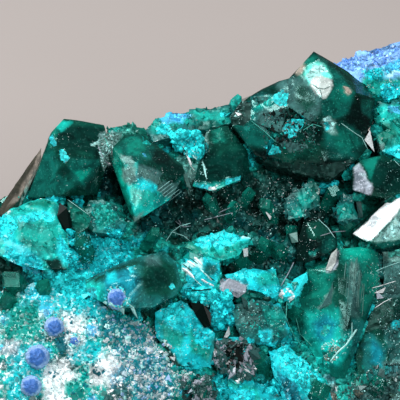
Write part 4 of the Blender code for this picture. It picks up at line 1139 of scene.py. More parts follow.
def finely(low, high, fine_low, fine_high, fine, coarse):
    """Numbers from low to high, close together between fine_low and fine_high."""
    left = np.linspace(low, fine_low, max(2, int((fine_low - low) / coarse)), endpoint=False)
    middle = np.linspace(fine_low, fine_high, int((fine_high - fine_low) / fine), endpoint=False)
    right = np.linspace(fine_high, high, max(2, int((high - fine_high) / coarse)))
    return np.concatenate((left, middle, right))


def fine_top(columns, rows):
    """The rock's top on a fine grid, on the flat cells between its corners."""
    corners = coarse_top()
    place_u = (columns + 1) / 2 * ROCK_CELLS[0]
    place_v = (rows + 1) / 2 * ROCK_CELLS[1]
    cell_u = np.minimum(place_u.astype(int), ROCK_CELLS[0] - 1)
    cell_v = np.minimum(place_v.astype(int), ROCK_CELLS[1] - 1)
    share_u = (place_u - cell_u)[:, None, None]
    share_v = (place_v - cell_v)[None, :, None]
    near = corners[cell_u][:, cell_v] * (1 - share_u) + corners[cell_u + 1][:, cell_v] * share_u
    far = corners[cell_u][:, cell_v + 1] * (1 - share_u) + corners[cell_u + 1][:, cell_v + 1] * share_u
    return near * (1 - share_v) + far * share_v


def wall_rings(rim):
    """Rings of the rock's wall from its rim down to the base."""
    rings = []
    upper = rim
    for height, bulge in WALL:
        uneven = bulge + 0.03 * cloud(upper, 1 / 0.3, (0, 0, 5))[:, None]
        lower = upper * np.array([1.0, 1.0, height])
        lower[:, :2] *= uneven
        for step in range(1, WALL_STEPS + 1):
            rings.append(upper + (lower - upper) * step / WALL_STEPS)
        upper = lower
    return rings


# Spacing of the rock's mesh in mm where the picture frame shows it and elsewhere, and how far it
# is shown on each side, as a share of half the rock
ROCK_SEEN_GRID = 0.14
ROCK_OUTER_GRID = 0.45
ROCK_SEEN_ACROSS = (-0.68, 0.68)
ROCK_SEEN_ALONG = (-0.62, 0.6)


def rock_mesh():
    """The whole rock as one closed fine mesh: its top, its wall and its flat base."""
    half_width, half_depth = ROCK_WIDTH / 2, ROCK_DEPTH / 2
    columns = finely(-1, 1, *ROCK_SEEN_ACROSS, ROCK_SEEN_GRID / half_width, ROCK_OUTER_GRID / half_width)
    rows = finely(-1, 1, *ROCK_SEEN_ALONG, ROCK_SEEN_GRID / half_depth, ROCK_OUTER_GRID / half_depth)
    top = fine_top(columns, rows)
    wide, deep = top.shape[:2]
    number = np.arange(wide * deep).reshape(wide, deep)
    faces = np.stack((number[:-1, :-1], number[1:, :-1], number[1:, 1:], number[:-1, 1:]), -1)
    faces = faces.reshape(-1, 4)
    rim = np.concatenate((number[:-1, 0], number[-1, :-1], number[:0:-1, -1], number[0, :0:-1]))
    points = [top.reshape(-1, 3)]
    start = wide * deep
    upper = rim
    sides = []
    for ring in wall_rings(points[0][rim]):
        lower = np.arange(start, start + len(ring))
        start += len(ring)
        points.append(ring)
        sides.append(np.stack((np.roll(upper, -1), upper, lower, np.roll(lower, -1)), -1))
        upper = lower
    base = [list(map(int, upper))[::-1]]
    mesh = bpy.data.meshes.new("crusted_rock")
    every = [list(map(int, face)) for face in np.concatenate([faces] + sides)] + base
    mesh.from_pydata((np.concatenate(points) * MM).tolist(), [], every)
    mesh.update()
    return mesh


def fit_rock(points):
    """Stretch the rock onto its solid's outline, and lay its sides on the solid's fractures."""
    low, high = (np.array(corner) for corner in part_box("matrix_rock"))
    for axis in (0, 1):
        least, most = points[:, axis].min(), points[:, axis].max()
        points[:, axis] = (points[:, axis] - least) / (most - least) * (high[axis] - low[axis]) + low[axis]
    solid = places_of(frame["nodes"]["matrix_rock"].data)
    lower_part = solid[solid[:, 2] < WALL_TOP * MM]
    for direction, tilt in FRACTURES:
        turn, rise = math.radians(direction), math.radians(tilt)
        flat_x, flat_y = math.cos(turn), math.sin(turn)
        normal = np.array([flat_x * math.cos(rise), flat_y * math.cos(rise), math.sin(rise)])
        over = np.maximum(points @ normal - (lower_part @ normal).max(), 0)
        points -= over[:, None] * normal
    return points


# What the crust looks like where the picture frame shows it: colour, softness in pixels, corners.
# The black rows in the valley, a cleft and a hole are painted shade; the ice row is painted light
# on a lump that lies in shade.
CRUST_LIGHT_AND_SHADE_ZONES = [
    "teal 12 140,110 240,105 240,175 190,180 180,150",
    # Painted light: ice, paler than the crust's cyan, on a lump that lies in shade
    "ice 6 168,134 200,131 208,146 206,160 196,172 184,160 174,150",
    "teal 6 184,162 206,158 212,184 192,190",
    "black green 6 212,158 224,156 240,184 214,186",
    # Painted shade: black over the deep valley between the crystals
    "black 10 120,200 190,178 300,172 345,200 330,216 300,232 262,244 236,232 208,230 184,240 "
    "150,236 118,232",
    "white 3 100,148 113,140 122,132 128,134 114,148 112,164 102,166 98,158",
    # Painted shade: black in the cleft between the left and centre crystals
    "black 6 98,164 116,162 128,196 138,232 114,226 98,202",
    "grey green 4 183,172 196,168 200,182 188,192",
    "teal 6 92,198 112,200 132,216 134,236 104,236 90,222",
    "cyan 6 66,236 98,232 132,242 130,262 100,276 66,272",
    "black green 5 0,262 28,264 34,290 4,298 -10,290",
    "sea 6 4,298 36,298 40,338 4,338",
    "lavender grey 5 2,340 22,340 22,354 2,354",
    "bright cyan 6 24,272 70,266 100,276 92,300 60,312 36,300",
    "cyan 7 78,296 128,300 140,330 104,340 76,322",
    "white 7 36,318 74,312 86,344 60,362 40,400 20,392",
    "teal 8 150,296 158,300 170,340 180,380 160,380 150,340",
    "dark teal 6 246,240 306,240 310,286 284,290 250,270",
    "grey green 3 250,243 270,243 268,268 254,262",
    # Painted shade: black in a dark hole between the front crystals
    "black 3 221,262 246,253 248,266 240,271 224,275",
    "emerald 8 330,195 400,195 400,245 340,245",
    "black green 5 368,128 384,130 380,156 360,150",
    "teal 8 366,84 410,80 410,160 380,158",
    "bright cyan 4 382,150 402,146 402,160 386,160",
    "dark teal 6 372,240 410,240 410,330 380,330",
    "sea 6 284,296 312,290 346,372 330,380 300,350",
    "cyan 6 222,376 290,380 290,410 222,410",
]


# How far in pixels the edges of zones wander, and the height in mm below which the stone is bare
ZONE_WANDER = 5.0
BARE_BELOW = 6.0


def crust_paint(points, normals):
    """Tint of the crust, or of the bare stone near the base, for each vertex, with painted shade in the
    valley, a cleft and a hole, and painted light on a shaded lump.
    """
    spread = cloud(points, 2.2 * MM) + 0.6 * cloud(points, 0.7 * MM, 4.0)
    tints = plain(len(points), "teal", 0.0)
    for colour, low, high in (("deep green", -0.15, -0.45), ("cyan", 0.1, 0.4), ("bright cyan", 0.5, 0.8)):
        tint_over(tints, between(spread, low, high), colour)
    places = picture(points) + wander(points, 0.8 * MM)[:, :2] * ZONE_WANDER
    faces_up = (normals[:, 2] > -0.2)[:, None]
    for colour, soft, corners in map(parts_of, CRUST_LIGHT_AND_SHADE_ZONES):
        tint_over(tints, 0.9 * within(places, corners, soft) * faces_up, colour)
    stone = plain(len(points), "brown")
    grey = np.clip(cloud(points, 1.5 * MM, 9.0) * 1.5 + 0.5, 0, 1)[:, None]
    stone += grey * (plain(len(points), "beige") * 0.7 - stone)
    border = (BARE_BELOW + cloud(points, 7 * MM, 3.0) * 4.5) * MM
    low = np.clip((border - points[:, 2]) / (3.0 * MM) + spread * 0.7, 0, 1)[:, None]
    return tints + low * (stone - tints)


class DIOPTASE_OT_rock(bpy.types.Operator):
    """Make the rock and the copper silicate crust that coats it"""

    bl_idname = "dioptase.rock"
    bl_label = "Crusted rock"

    def execute(self, context):
        sizes = context.scene.dioptase_crust
        mesh = rock_mesh()
        points = fit_rock(places_of(mesh))
        move_to(mesh, points)
        normals = normals_of(mesh)
        tints = crust_paint(points, normals)
        lumps = 0.22 * cloud(points, 1.3 * MM, 2.0) + 0.1 * cloud(points, 0.5 * MM, 7.0)
        relief = (lumps + 0.22 * grain_relief(points, sizes.grain)) * MM
        relief = np.where(points[:, 2] < 0.3 * MM, 0.0, relief)
        move_to(mesh, points + normals * relief[:, None])
        paint(mesh, "body", tints)
        round_off(mesh, 40)
        put_in_scene("crusted_rock", mesh, crust_material(), "crusted_rock", "matrix_rock")
        return {"FINISHED"}


# The small whole crystals fused to the rock, as its solid has them

DRUSE_AT = (-10.5, -12.0)
DRUSE_REACH = (8.6, 6.4)
END_SLOPE = math.tan(math.radians(51))
# Small crystals that the picture frame shows: (across, up, width, lean to x, lean to y)
SMALL_SEEN = [
    (-9.3, -4.0, 2.0, -0.3, 0.2), (-7.0, -2.6, 1.4, 0.4, 0.0), (-3.8, -3.0, 1.2, 0.5, 0.3),
    (5.4, -0.8, 1.5, -0.3, 0.5), (3.8, 0.2, 1.2, 0.4, 0.2), (7.5, -2.8, 1.2, -0.2, 0.6),
    (10.4, 0.2, 1.4, 0.3, 0.6), (11.9, -2.2, 1.5, -0.3, 0.1), (5.0, -4.0, 1.8, 0.2, 0.3),
    (6.5, -4.3, 1.6, -0.4, 0.1), (3.1, -5.1, 1.6, 0.5, -0.2), (-1.2, 1.4, 1.3, 0.3, 0.6),
    (0.9, -0.4, 1.3, -0.3, 0.5), (2.6, -0.9, 1.2, 0.3, 0.3), (-14.6, -7.0, 2.2, -0.3, 0.3),
    (-15.3, -8.4, 1.7, 0.3, 0.1), (-12.6, -7.4, 1.6, 0.4, 0.4), (7.4, -9.3, 1.7, 0.2, -0.2),
    (4.9, -13.2, 1.6, -0.4, 0.2), (-3.0, 4.9, 1.3, 0.3, 0.5), (-0.7, 2.9, 1.4, 0.5, 0.7),
    (-0.4, -9.2, 1.3, 0.2, 0.2), (9.3, -15.6, 2.0, 0.2, 0.0), (0.2, -15.4, 2.0, -0.2, 0.2),
    (14.2, -15.0, 1.6, 0.3, 0.1),
]
SMALL_CRYSTALS = 29
SMALL_FLAT = 0.85
SMALL_BURIED = 1.2
NEAREST, FARTHEST, SIGHT_STEP = -14.0, 20.0, 0.05


def on_hill(across, up):
    """The place where a line of sight meets the hill."""
    back = NEAREST
    while back < FARTHEST:
        place = seen(across, up, back)
        if place.z <= float(hill(place.x, place.y)):
            return place
        back += SIGHT_STEP
    return seen(across, up, 0.0)


def hill_normal(x, y):
    """The direction straight out of the hill."""
    step = 0.6
    slope_x = (hill(x + step, y) - hill(x - step, y)) / (2 * step)
    slope_y = (hill(x, y + step) - hill(x, y - step)) / (2 * step)
    return Vector((-slope_x, -slope_y, 1)).normalized()


def grown(bm, foot, axis, spin, across, length):
    """Add a whole dioptase crystal: a six-sided prism under three rhomb-shaped faces."""
    radius = across / 2
    turn = axis.to_track_quat("Z", "Y").to_matrix() @ Matrix.Rotation(spin, 3, "Z")
    points = [foot + turn @ Vector((0, 0, length))]
    for corner in range(6):
        angle = math.pi * corner / 3
        drop = END_SLOPE * radius * (1.0 if corner % 2 == 0 else 0.5)
        side = Vector((radius * math.cos(angle), radius * SMALL_FLAT * math.sin(angle), 0))
        points.append(foot + turn @ (side + Vector((0, 0, length - drop))))
        points.append(foot + turn @ (side * 0.9 - Vector((0, 0, SMALL_BURIED))))
    single = bmesh.new()
    for point in points:
        single.verts.new(point * MM)
    bmesh.ops.convex_hull(single, input=single.verts)
    start = {vert: bm.verts.new(vert.co) for vert in single.verts}
    for face in single.faces:
        bm.faces.new([start[vert] for vert in face.verts])
    single.free()


class DIOPTASE_OT_small_crystals(bpy.types.Operator):
    """Grow the small whole crystals that stand on the rock between the large ones"""

    bl_idname = "dioptase.small_crystals"
    bl_label = "Small crystals"

    def execute(self, context):
        draw = random.Random(4)
        bm = bmesh.new()
        for across, up, width, lean_x, lean_y in SMALL_SEEN:
            foot = on_hill(across, up)
            axis = (hill_normal(foot.x, foot.y) + Vector((lean_x, lean_y, 0))).normalized()
            spin = draw.uniform(0, 1)
            if abs(foot.z - float(hill(foot.x, foot.y))) < 0.5:
                grown(bm, foot, axis, spin, width, width * 0.9)
        made = 0
        while made < SMALL_CRYSTALS:
            x = draw.uniform(-0.46, 0.46) * ROCK_WIDTH
            y = draw.uniform(-0.46, 0.46) * ROCK_DEPTH
            in_frame = abs(x) < 16.0 and -13.0 < y < 11.0
            over_x, over_y = (x - DRUSE_AT[0]) / DRUSE_REACH[0], (y - DRUSE_AT[1]) / DRUSE_REACH[1]
            near_druse = math.hypot(over_x, over_y) < 1.4
            if in_frame or near_druse or math.hypot(2 * x / ROCK_WIDTH, 2 * y / ROCK_DEPTH) > 0.92:
                continue
            across = draw.uniform(1.6, 3.2)
            lean = Vector((draw.uniform(-0.8, 0.8), draw.uniform(-0.8, 0.8), 0))
            axis = (hill_normal(x, y) + lean).normalized()
            foot = Vector((x, y, float(hill(x, y))))
            spin = draw.uniform(0, 1)
            length = across * draw.uniform(0.7, 1.0)
            grown(bm, foot, axis, spin, across, length)
            made += 1
        bmesh.ops.recalc_face_normals(bm, faces=bm.faces)
        mesh = bpy.data.meshes.new("small_crystals")
        bm.to_mesh(mesh)
        bm.free()
        points = places_of(mesh)
        move_to(mesh, points)
        paint(mesh, "body", plain(len(points), "emerald"))
        paint(mesh, "coat", plain(len(points), "cyan", 0.25))
        material = crystal_material("dioptase small crystal", 0.45, 1.3, 0.12, 0.4)
        put_in_scene("small_crystals", mesh, material, "emerald")
        return {"FINISHED"}


# Loose grains: each is a small angular stone, as points and faces

STONE = (
    np.array([(1, 0, 0), (-1, 0, 0), (0, 1, 0), (0, -1, 0), (0, 0, 1), (0, 0, -1)], float),
    np.array([(0, 2, 4), (2, 1, 4), (1, 3, 4), (3, 0, 4), (2, 0, 5), (1, 2, 5), (3, 1, 5), (0, 3, 5)]),
)


def lump_shape():
    """A rounder stone of 80 faces, as points and faces."""
    bm = bmesh.new()
    bmesh.ops.create_icosphere(bm, subdivisions=2, radius=1.0)
    points = np.array([vert.co for vert in bm.verts])
    faces = np.array([[vert.index for vert in face.verts] for face in bm.faces])
    bm.free()
    return points, faces


def stones(name, places, ups, widths, tints, draw, lean=0.6, tall=1.2, shape=STONE, darkest=0.6):
    """Small angular stones at given places, standing roughly along given directions."""
    count = len(places)
    ups = ups + draw.normal(0, lean, (count, 3))
    ups /= np.linalg.norm(ups, axis=1)[:, None]
    sides = np.cross(ups, draw.normal(0, 1, (count, 3)))
    sides /= np.linalg.norm(sides, axis=1)[:, None]
    fronts = np.cross(ups, sides)
    half = widths[:, None] * np.column_stack((
        draw.uniform(0.35, 0.6, count), draw.uniform(0.3, 0.6, count), draw.uniform(0.4, tall, count)))
    shape_points, shape_faces = shape
    uneven = draw.uniform(0.75, 1.25, (count, len(shape_points), 1))
    corners = shape_points[None] * half[:, None, :] * uneven
    if shape is STONE:
        corners += draw.normal(0, 0.12, corners.shape) * widths[:, None, None]
    axes = np.stack((sides, fronts, ups), 1)
    points = (places[:, None, :] + np.einsum("nij,njk->nik", corners, axes)).reshape(-1, 3)
    faces = (shape_faces[None] + np.arange(count)[:, None, None] * len(shape_points)).reshape(-1, 3)
    mesh = bpy.data.meshes.new(name)
    mesh.from_pydata(points.tolist(), [], faces.tolist())
    mesh.update()
    move_to(mesh, points)
    shade = draw.uniform(darkest, 1.2, (count, 1))
    colours = np.column_stack((tints[:, :3] * shade, np.ones(count)))
    paint(mesh, "body", np.repeat(colours, len(shape_points), 0))
    return mesh


def sight_tree(meshes):
    """The faces of several meshes in one tree, to find what a line of sight meets."""
    points, faces = [], []
    for mesh in meshes:
        start = len(points)
        points += [vert.co.copy() for vert in mesh.vertices]
        faces += [[start + number for number in face.vertices] for face in mesh.polygons]
    return BVHTree.FromPolygons(points, faces)


def sight(tree, x, y):
    """What the viewer sees at a pixel of the picture frame: its place, normal, distance and direction."""
    half = PICTURE_PIXELS / 2
    eye = seen(0, 0, -VIEW_DISTANCE) * MM
    toward = (seen((x - half) * PIXEL, (half - y) * PIXEL, 0) * MM - eye).normalized()
    place, normal, _, distance = tree.ray_cast(eye, toward)
    return place, normal, distance, toward


def dressed_tree():
    """The tree of the rock, the druse and every crystal as dressed."""
    names = [name + "_faces" for name, slot in SLOTS.items() if slot in BODY_OF_SLOT]
    names += ["crusted_rock", "quartz_crust", "small_crystals"]
    names += ["crust_lumps", "wedged_lumps", "crust_heaps"]
    return sight_tree([bpy.data.objects[name].data for name in names if name in bpy.data.objects])


def spots_on(mesh, weights, count, draw):
    """Random places on a mesh, more of them where the weight of its vertices is high."""
    points, normals = places_of(mesh), normals_of(mesh)
    mesh.calc_loop_triangles()
    corners = np.empty(len(mesh.loop_triangles) * 3, int)
    mesh.loop_triangles.foreach_get("vertices", corners)
    corners = corners.reshape(-1, 3)
    first, second, third = points[corners[:, 0]], points[corners[:, 1]], points[corners[:, 2]]
    area = np.linalg.norm(np.cross(second - first, third - first), axis=1)
    chance = area * weights[corners].mean(1)
    chosen = draw.choice(len(corners), count, p=chance / chance.sum())
    share = draw.dirichlet((1, 1, 1), count)[:, :, None]
    places = (points[corners[chosen]] * share).sum(1)
    ways = normals[corners[chosen]].mean(1)
    return places, ways, corners[chosen][:, 0]


def painted_colours(mesh, name):
    """The colours painted on a mesh."""
    layer = mesh.color_attributes[name]
    flat = np.empty(len(layer.data) * 4, np.float32)
    layer.data.foreach_get("color", flat)
    return flat.reshape(-1, 4)


# The druse

# The blue balls: (x and y in the picture frame, radius in mm)
BALLS = [(117, 299, 0.8), (54, 327, 0.74), (37.5, 357, 0.9), (31, 386, 0.78), (75, 341, 0.42)]


def ball_mesh(tree):
    """Blue balls of fine fibres, half sunk in what carries them, with their rings painted on, and a rim
    that turns paler away from the viewer as painted sheen.
    """
    bm = bmesh.new()
    colours = []
    dark, light = Vector(linear("blue")), Vector(linear("pale blue"))
    for x, y, radius in BALLS:
        place, normal, _, toward = sight(tree, x, y)
        centre = place / MM + toward * radius * 0.5
        crown = (normal * 0.3 - toward).normalized()
        made = bmesh.ops.create_icosphere(bm, subdivisions=5, radius=1.0)
        for vert in made["verts"]:
            way = vert.co.copy()
            lumps = 0.12 * noise.noise(way * 3 + centre) + 0.09 * noise.noise(way * 11 + centre)
            vert.co = (centre + way * radius * (1 + lumps)) * MM
            off = math.degrees(crown.angle(way))
            ring = 0.5 + 0.5 * math.sin(off / 7 + 2.5 * noise.noise(way * 2.5))
            patches = 0.5 * noise.noise(way * 5 + centre)
            # A paler rim, away from the side that faces the viewer: a painted sheen
            share = min(max(0.7 * ring - 0.2 + patches + (off - 38) / 40, 0), 1) * 0.9
            colours.append((*(dark.lerp(light, share)), 1))
    mesh = bpy.data.meshes.new("blue_balls")
    bm.to_mesh(mesh)
    bm.free()
    paint(mesh, "body", np.array(colours))
    round_off(mesh, 60)
    return mesh


# How the druse looks where the picture frame shows it: colour, share of white, softness in
# pixels, corners
DRUSE_ZONES = [
    "cyan 0.15 8 20,264 62,258 104,284 98,322 54,312 22,300",
    "dark teal 0 5 -4,262 28,262 32,292 -4,296",
    "teal 0.05 5 4,298 38,300 40,338 4,336",
    "lavender grey 0.35 5 2,340 22,340 22,356 2,356",
    "sea blue 0.15 6 98,312 142,318 140,340 104,340",
    "cyan 0.3 6 70,342 108,342 100,362 68,362",
    "sea blue 0.4 10 112,340 152,328 174,352 178,404 108,404",
    "sea blue 0.3 8 132,362 160,360 170,396 136,404",
    "slate 0.2 6 104,386 130,384 132,404 104,404",
    "white 0.55 8 60,314 84,316 84,330 62,332",
    "white 0.5 6 68,336 84,336 82,348 70,348",
    "sea blue 0.1 4 54,336 68,338 68,350 56,350",
    "white 0.6 8 42,362 68,364 76,374 62,386 66,404 46,404",
    "white 0.5 8 90,366 110,352 120,362 108,384 92,384",
    "teal 0.05 5 62,380 90,378 94,392 70,400",
    "cyan 0.2 6 8,356 40,340 44,380 30,404 8,404",
]


def druse_paint(points):
    """Tint of the druse, with its share of white as alpha, for each vertex."""
    tints = plain(len(points), "sea", 0.4)
    spread = cloud(points, 1.4 * MM, 3.0)
    for colour, low, high in (("dark teal", -0.1, -0.35), ("sky", 0.2, 0.45)):
        tint_over(tints, between(spread, low, high), colour, 0.4)
    places = picture(points) + wander(points, 0.8 * MM)[:, :2] * ZONE_WANDER
    for colour, clean, soft, corners in map(parts_of, DRUSE_ZONES):
        tint_over(tints, 0.8 * within(places, corners, soft), colour, clean)
    return tints


DRUSE_SEEN_GRID = 0.16 * MM
DRUSE_OUTER_GRID = 0.4 * MM


class DIOPTASE_OT_druse(bpy.types.Operator):
    """Make the sugary quartz druse with its points"""

    bl_idname = "dioptase.druse"
    bl_label = "Quartz druse"

    def execute(self, context):
        sizes = context.scene.dioptase_druse
        draw = np.random.default_rng(5)
        mesh = crystal_mesh("quartz_druse", DRUSE_SEEN_GRID, DRUSE_OUTER_GRID)
        points = places_of(mesh)
        relief = 0.12 * grain_relief(points, 0.45 * MM) + 0.12 * cloud(points, 0.9 * MM)
        move_to(mesh, points + normals_of(mesh) * (relief * MM)[:, None])
        tints = druse_paint(points)
        paint(mesh, "body", tints)
        round_off(mesh, 30)
        put_in_scene("quartz_crust", mesh, druse_material(), "quartz", "quartz_druse")
        weights = np.clip(normals_of(mesh)[:, 2], 0, 1) + 0.01
        places, ways, near = spots_on(mesh, weights, sizes.grains, draw)
        widths = draw.lognormal(math.log(0.26), 0.35, sizes.grains) * MM
        clean = tints[near][:, 3:]
        clumps = 0.7 * cloud(places, 0.6 * MM, 4.0)[:, None]
        whiter = np.clip(clean * 1.2 - 0.3 + clumps + draw.normal(0, 0.2, (len(places), 1)), 0, 1)
        colours = tints[near] + whiter * (plain(len(places), "white") - tints[near])
        points_mesh = stones("quartz_points", places, ways, widths, colours, draw, 0.35, 0.8, darkest=0.9)
        put_in_scene("quartz_points", points_mesh, grain_material("quartz points", 0.18), "quartz")
        return {"FINISHED"}


# Loose matter where the picture frame shows it: colour, number, width in mm, corners. The first two
# rows are partly grains and partly painted glints.
GRAINS = [
    # Partly grains and partly painted glints: white specks that sparkle in the dark valley
    "ice 480 0.065 140,205 190,182 300,176 345,200 330,216 262,240 150,236",
    "white 300 0.06 190,182 300,176 345,200 330,216 300,280 254,262 250,236",
    "white 90 0.035 60,126 103,128 120,190 100,200 50,180",
    "white 110 0.035 122,136 160,146 184,180 150,210 128,190",
    "white 90 0.035 242,110 300,80 366,96 360,160 300,176 240,150",
    "ice 260 0.045 296,226 340,236 380,246 380,360 300,340",
    "ice 260 0.055 376,160 400,160 400,400 376,390",
    "ice 150 0.13 98,136 112,130 118,134 108,160 106,178 100,160",
    "grey green 120 0.18 98,140 112,132 110,158 104,170",
    "ice 90 0.07 122,156 136,160 150,176 140,200 128,188",
    "ice 120 0.08 182,140 206,136 208,184 192,190 184,170",
    "slate 160 0.4 214,342 244,338 256,350 256,376 240,384 214,366",
    "lavender grey 90 0.34 214,342 240,338 254,350 256,376 240,384 214,366",
    "white 50 0.26 214,348 226,342 252,344 256,372 240,384 214,366",
    "black 70 0.4 226,344 244,346 244,366 228,368",
    "cyan 30 0.3 242,340 256,340 256,352 244,352",
    "ice 90 0.12 320,346 342,334 354,332 344,360 326,364",
    "beige 50 0.12 322,350 340,346 340,358 326,362",
    "cyan 260 0.13 66,236 98,232 132,242 130,262 100,276 66,272",
    "ice 120 0.07 66,236 98,232 132,242 130,262 100,276 66,272",
    "ice 120 0.06 2,214 50,200 60,236 70,276 30,274 0,250",
    "sea 120 0.14 90,202 112,200 130,222 118,236 92,228",
    "ice 60 0.07 90,202 112,200 130,222 118,236 92,228",
    "ice 160 0.08 384,362 400,362 400,400 340,400 352,380",
    "slate 220 0.2 376,366 400,362 400,400 336,400 350,380",
    "sea 160 0.12 236,302 262,298 286,312 286,340 240,340",
    "ice 80 0.07 236,302 262,298 286,312 286,340 240,340",
    "ice 120 0.07 186,232 250,230 284,272 284,298 186,290",
    "ice 200 0.07 156,296 212,292 214,366 190,366 160,336",
    "ice 160 0.07 276,340 326,372 330,400 284,400",
    "ice 24 0.09 230,114 242,100 252,104 250,122 238,124",
    "black 90 0.22 262,112 300,108 316,122 300,150 276,140",
    "slate 220 0.14 256,110 318,108 320,146 296,156 262,142",
    "teal 90 0.1 256,110 318,118 320,150 296,156 262,142",
    "white 260 0.2 104,334 150,322 176,352 180,400 100,400",
    "ice 260 0.2 104,310 150,322 176,352 180,400 120,400",
    "pale blue 160 0.2 104,310 150,322 176,352 180,400 120,400",
    "sea blue 160 0.2 44,310 104,310 120,350 90,400 50,392",
    "slate 130 0.3 182,372 214,374 216,400 182,400",
    "lavender grey 70 0.25 182,376 214,378 216,400 182,400",
    "ice 50 0.12 182,372 214,374 216,400 182,400",
    "slate 200 0.12 366,262 400,262 400,330 380,330",
    "ice 120 0.06 366,262 400,262 400,366 376,340",
    "white 120 0.06 340,60 400,46 400,90 370,90",
]

# Thin lines, such as chipped edges, growth lines, fibres and a painted highlight along an edge: colour,
# width in mm, places passed
LINES = [
    "ice 0.045 67.5,199.5 94,218.5",
    "lavender grey 0.07 204,220 220,216 233,212.5",
    "lavender grey 0.05 218,213 230.5,207.5",
    "ice 0.06 166,241 172,232 180,226 191,223",
    "ice 0.05 172,232 184,236 190,241",
    "lavender grey 0.05 175,221 183,227 191,226",
    "lavender grey 0.05 178,219 181,224",
    # Partly a worn edge and partly a painted highlight: a pale line along a crystal edge
    "ice 0.05 341,123 352,131 362,137.5 368,150",
    "pale teal 0.04 250,120 264,131 276,142",
    "pale teal 0.04 302,131 313,124 322,127",
    "ice 0.05 318,219 328,228 335,238",
    "lavender grey 0.06 320,236 333,232 346,231",
    "lavender grey 0.07 281,286 288,274 294,262",
    "ice 0.05 376,271 388,266 400,262",
    "white 0.06 375,308 384,302 392,298",
    "white 0.06 372,288 380,286 396,281",
    "ice 0.15 330,362 338,352 346,345 357,329",
    "white 0.24 182,268 188,272 194,278",
    "white 0.28 187,261 195,266",
    "white 0.24 194,257 202,265",
    "ice 0.16 200,269 206,275 212,281",
    "white 0.18 201,279 207,283 214,286",
    "ice 0.08 190,275 202,286",
    "black green 0.08 183,264 192,271",
    "black green 0.08 190,258 198,264",
    "black green 0.08 204,273 215,281",
    "black green 0.12 190,291 202,290 212,289",
    "pale grey 0.04 227,281 223,290",
    "pale grey 0.04 232,281 229,293",
    "pale grey 0.04 238,284 236,296",
    "slate 0.06 312,84 318,88 324,89 331,86",
    "slate 0.05 320,89 322,97",
    "pale teal 0.05 287,300 286,318 294,336 302,346",
    "pale teal 0.05 296,318 300,334 312,346",
    "ice 0.05 352,322 352,334 346,344",
    "ice 0.04 394,160 400,166",
    "black green 0.09 350,232 368,216 387,198",
    "pale teal 0.05 104,136 110,150 112,164",
    "lavender grey 0.08 98,146 103,158 110,166",
    "ice 0.06 91,146 98,141 105,138",
]

# Thin plates: colour, corners. Some are painted light: white, pinkish and lilac glints as painted
# highlights, and two black sheets as painted shade.
FLAKES_AND_PAINTED_LIGHT = [
    "white 186,154.5 189.5,158 194.5,171 190,165",
    "ice 191,149 194,151 197,160 193,157",
    "ice 202,160 205,166 207,180 204,172",
    "grey green 183.5,174 187,174 191,188 187,187",
    "white 370,130 374.5,152 364.5,140",
    # Painted highlights: this plate and the next three are small glints, the last one pinkish
    "white 266,203 271,200 274,211 270,220 266,213",
    "white 224,337 229,326 230,334 227,338",
    "white 335,387 338,386 337,396",
    "beige 343,86 348,87 352,93 347,92",
    "slate 356,202 361,201 363,217 359,218",
    "pale grey 331,254 337.5,248 336,262 331,271 325.5,270",
    "slate 333,284 331,302 319,310 327,297",
    # Painted highlights: this plate and the next two are small glints, white and lilac
    "white 374,293 386,287 383,293",
    "lavender grey 376,290 384,298 377,299",
    "white 243,249 248,248 248,256 244,257",
    "grey green 289,234 297,232 298,242 292,243",
    # A painted highlight: a small white glint
    "white 289,182 294,183 292,185.5",
    "ice 128,303 134,307 138,319 133,313",
    # A painted highlight: a small white glint
    "white 235,112 242,114 238,116",
    "lavender grey 218,287 229,278 246,286 246,292 238,298 222,291",
    "bright cyan 288,289 294,279 307,272 308,280 297,292",
    # A painted highlight: a small white glint
    "white 280,290 287,288 295,297 284,297",
    # Painted shade: this black sheet and the next fill a dark gap and a dark hole
    "black 60,203 67,208 72,222 70,236 62,228 57,216",
    "black 190,302 203,304 211,313 211,326 205,328 195,314",
]


def evenly(corners, step):
    """Places along a line through corners, about a step apart."""
    places = [np.array(corners[0], float)]
    for first, second in zip(corners, corners[1:]):
        way = np.subtract(second, first)
        parts = max(1, round(math.hypot(*way) / step))
        places += [first + way * part / parts for part in range(1, parts + 1)]
    return places


LINE_STEP = 2.0
LINE_LIFT = 0.05 * MM
# How much farther from the eye a line may run at each step
LINE_FALL = 0.12 * MM
PLATE_LIFT = 0.1 * MM
PLATE_FALL = 0.5 * MM


def eased(depths):
    """Depths along a line, none of them much farther than the next ones."""
    for _ in range(len(depths)):
        beside = np.minimum(np.roll(depths, 1), np.roll(depths, -1))
        beside[0], beside[-1] = depths[1], depths[-2]
        depths = np.minimum(depths, beside + LINE_FALL)
    return depths


def add_line(bm, tree, half_width, corners):
    """Lay a three-sided thread along a line in the picture frame. Gives the number of its vertices."""
    spots = evenly(corners, LINE_STEP)
    found = [sight(tree, x, y) for x, y in spots]
    if None in [one[0] for one in found]:
        return 0
    depths = eased(np.array([one[2] for one in found]))
    last = len(spots) - 1
    rings = []
    for number, (place, _, distance, toward) in enumerate(found):
        place += toward * (depths[number] - distance - LINE_LIFT)
        ahead = spots[min(number + 1, last)] - spots[max(number - 1, 0)]
        side = Vector((-ahead[1], 0, -ahead[0])).normalized() * half_width
        side *= 0.3 if number in (0, last) else 1.0
        rings.append([bm.verts.new(place + offset) for offset in (side, -toward * side.length, -side)])
    for first, second in zip(rings, rings[1:]):
        for corner in range(3):
            after = (corner + 1) % 3
            bm.faces.new((first[corner], first[after], second[after], second[corner]))
    bm.faces.new(rings[0])
    bm.faces.new(rings[-1][::-1])
    return 3 * len(rings)


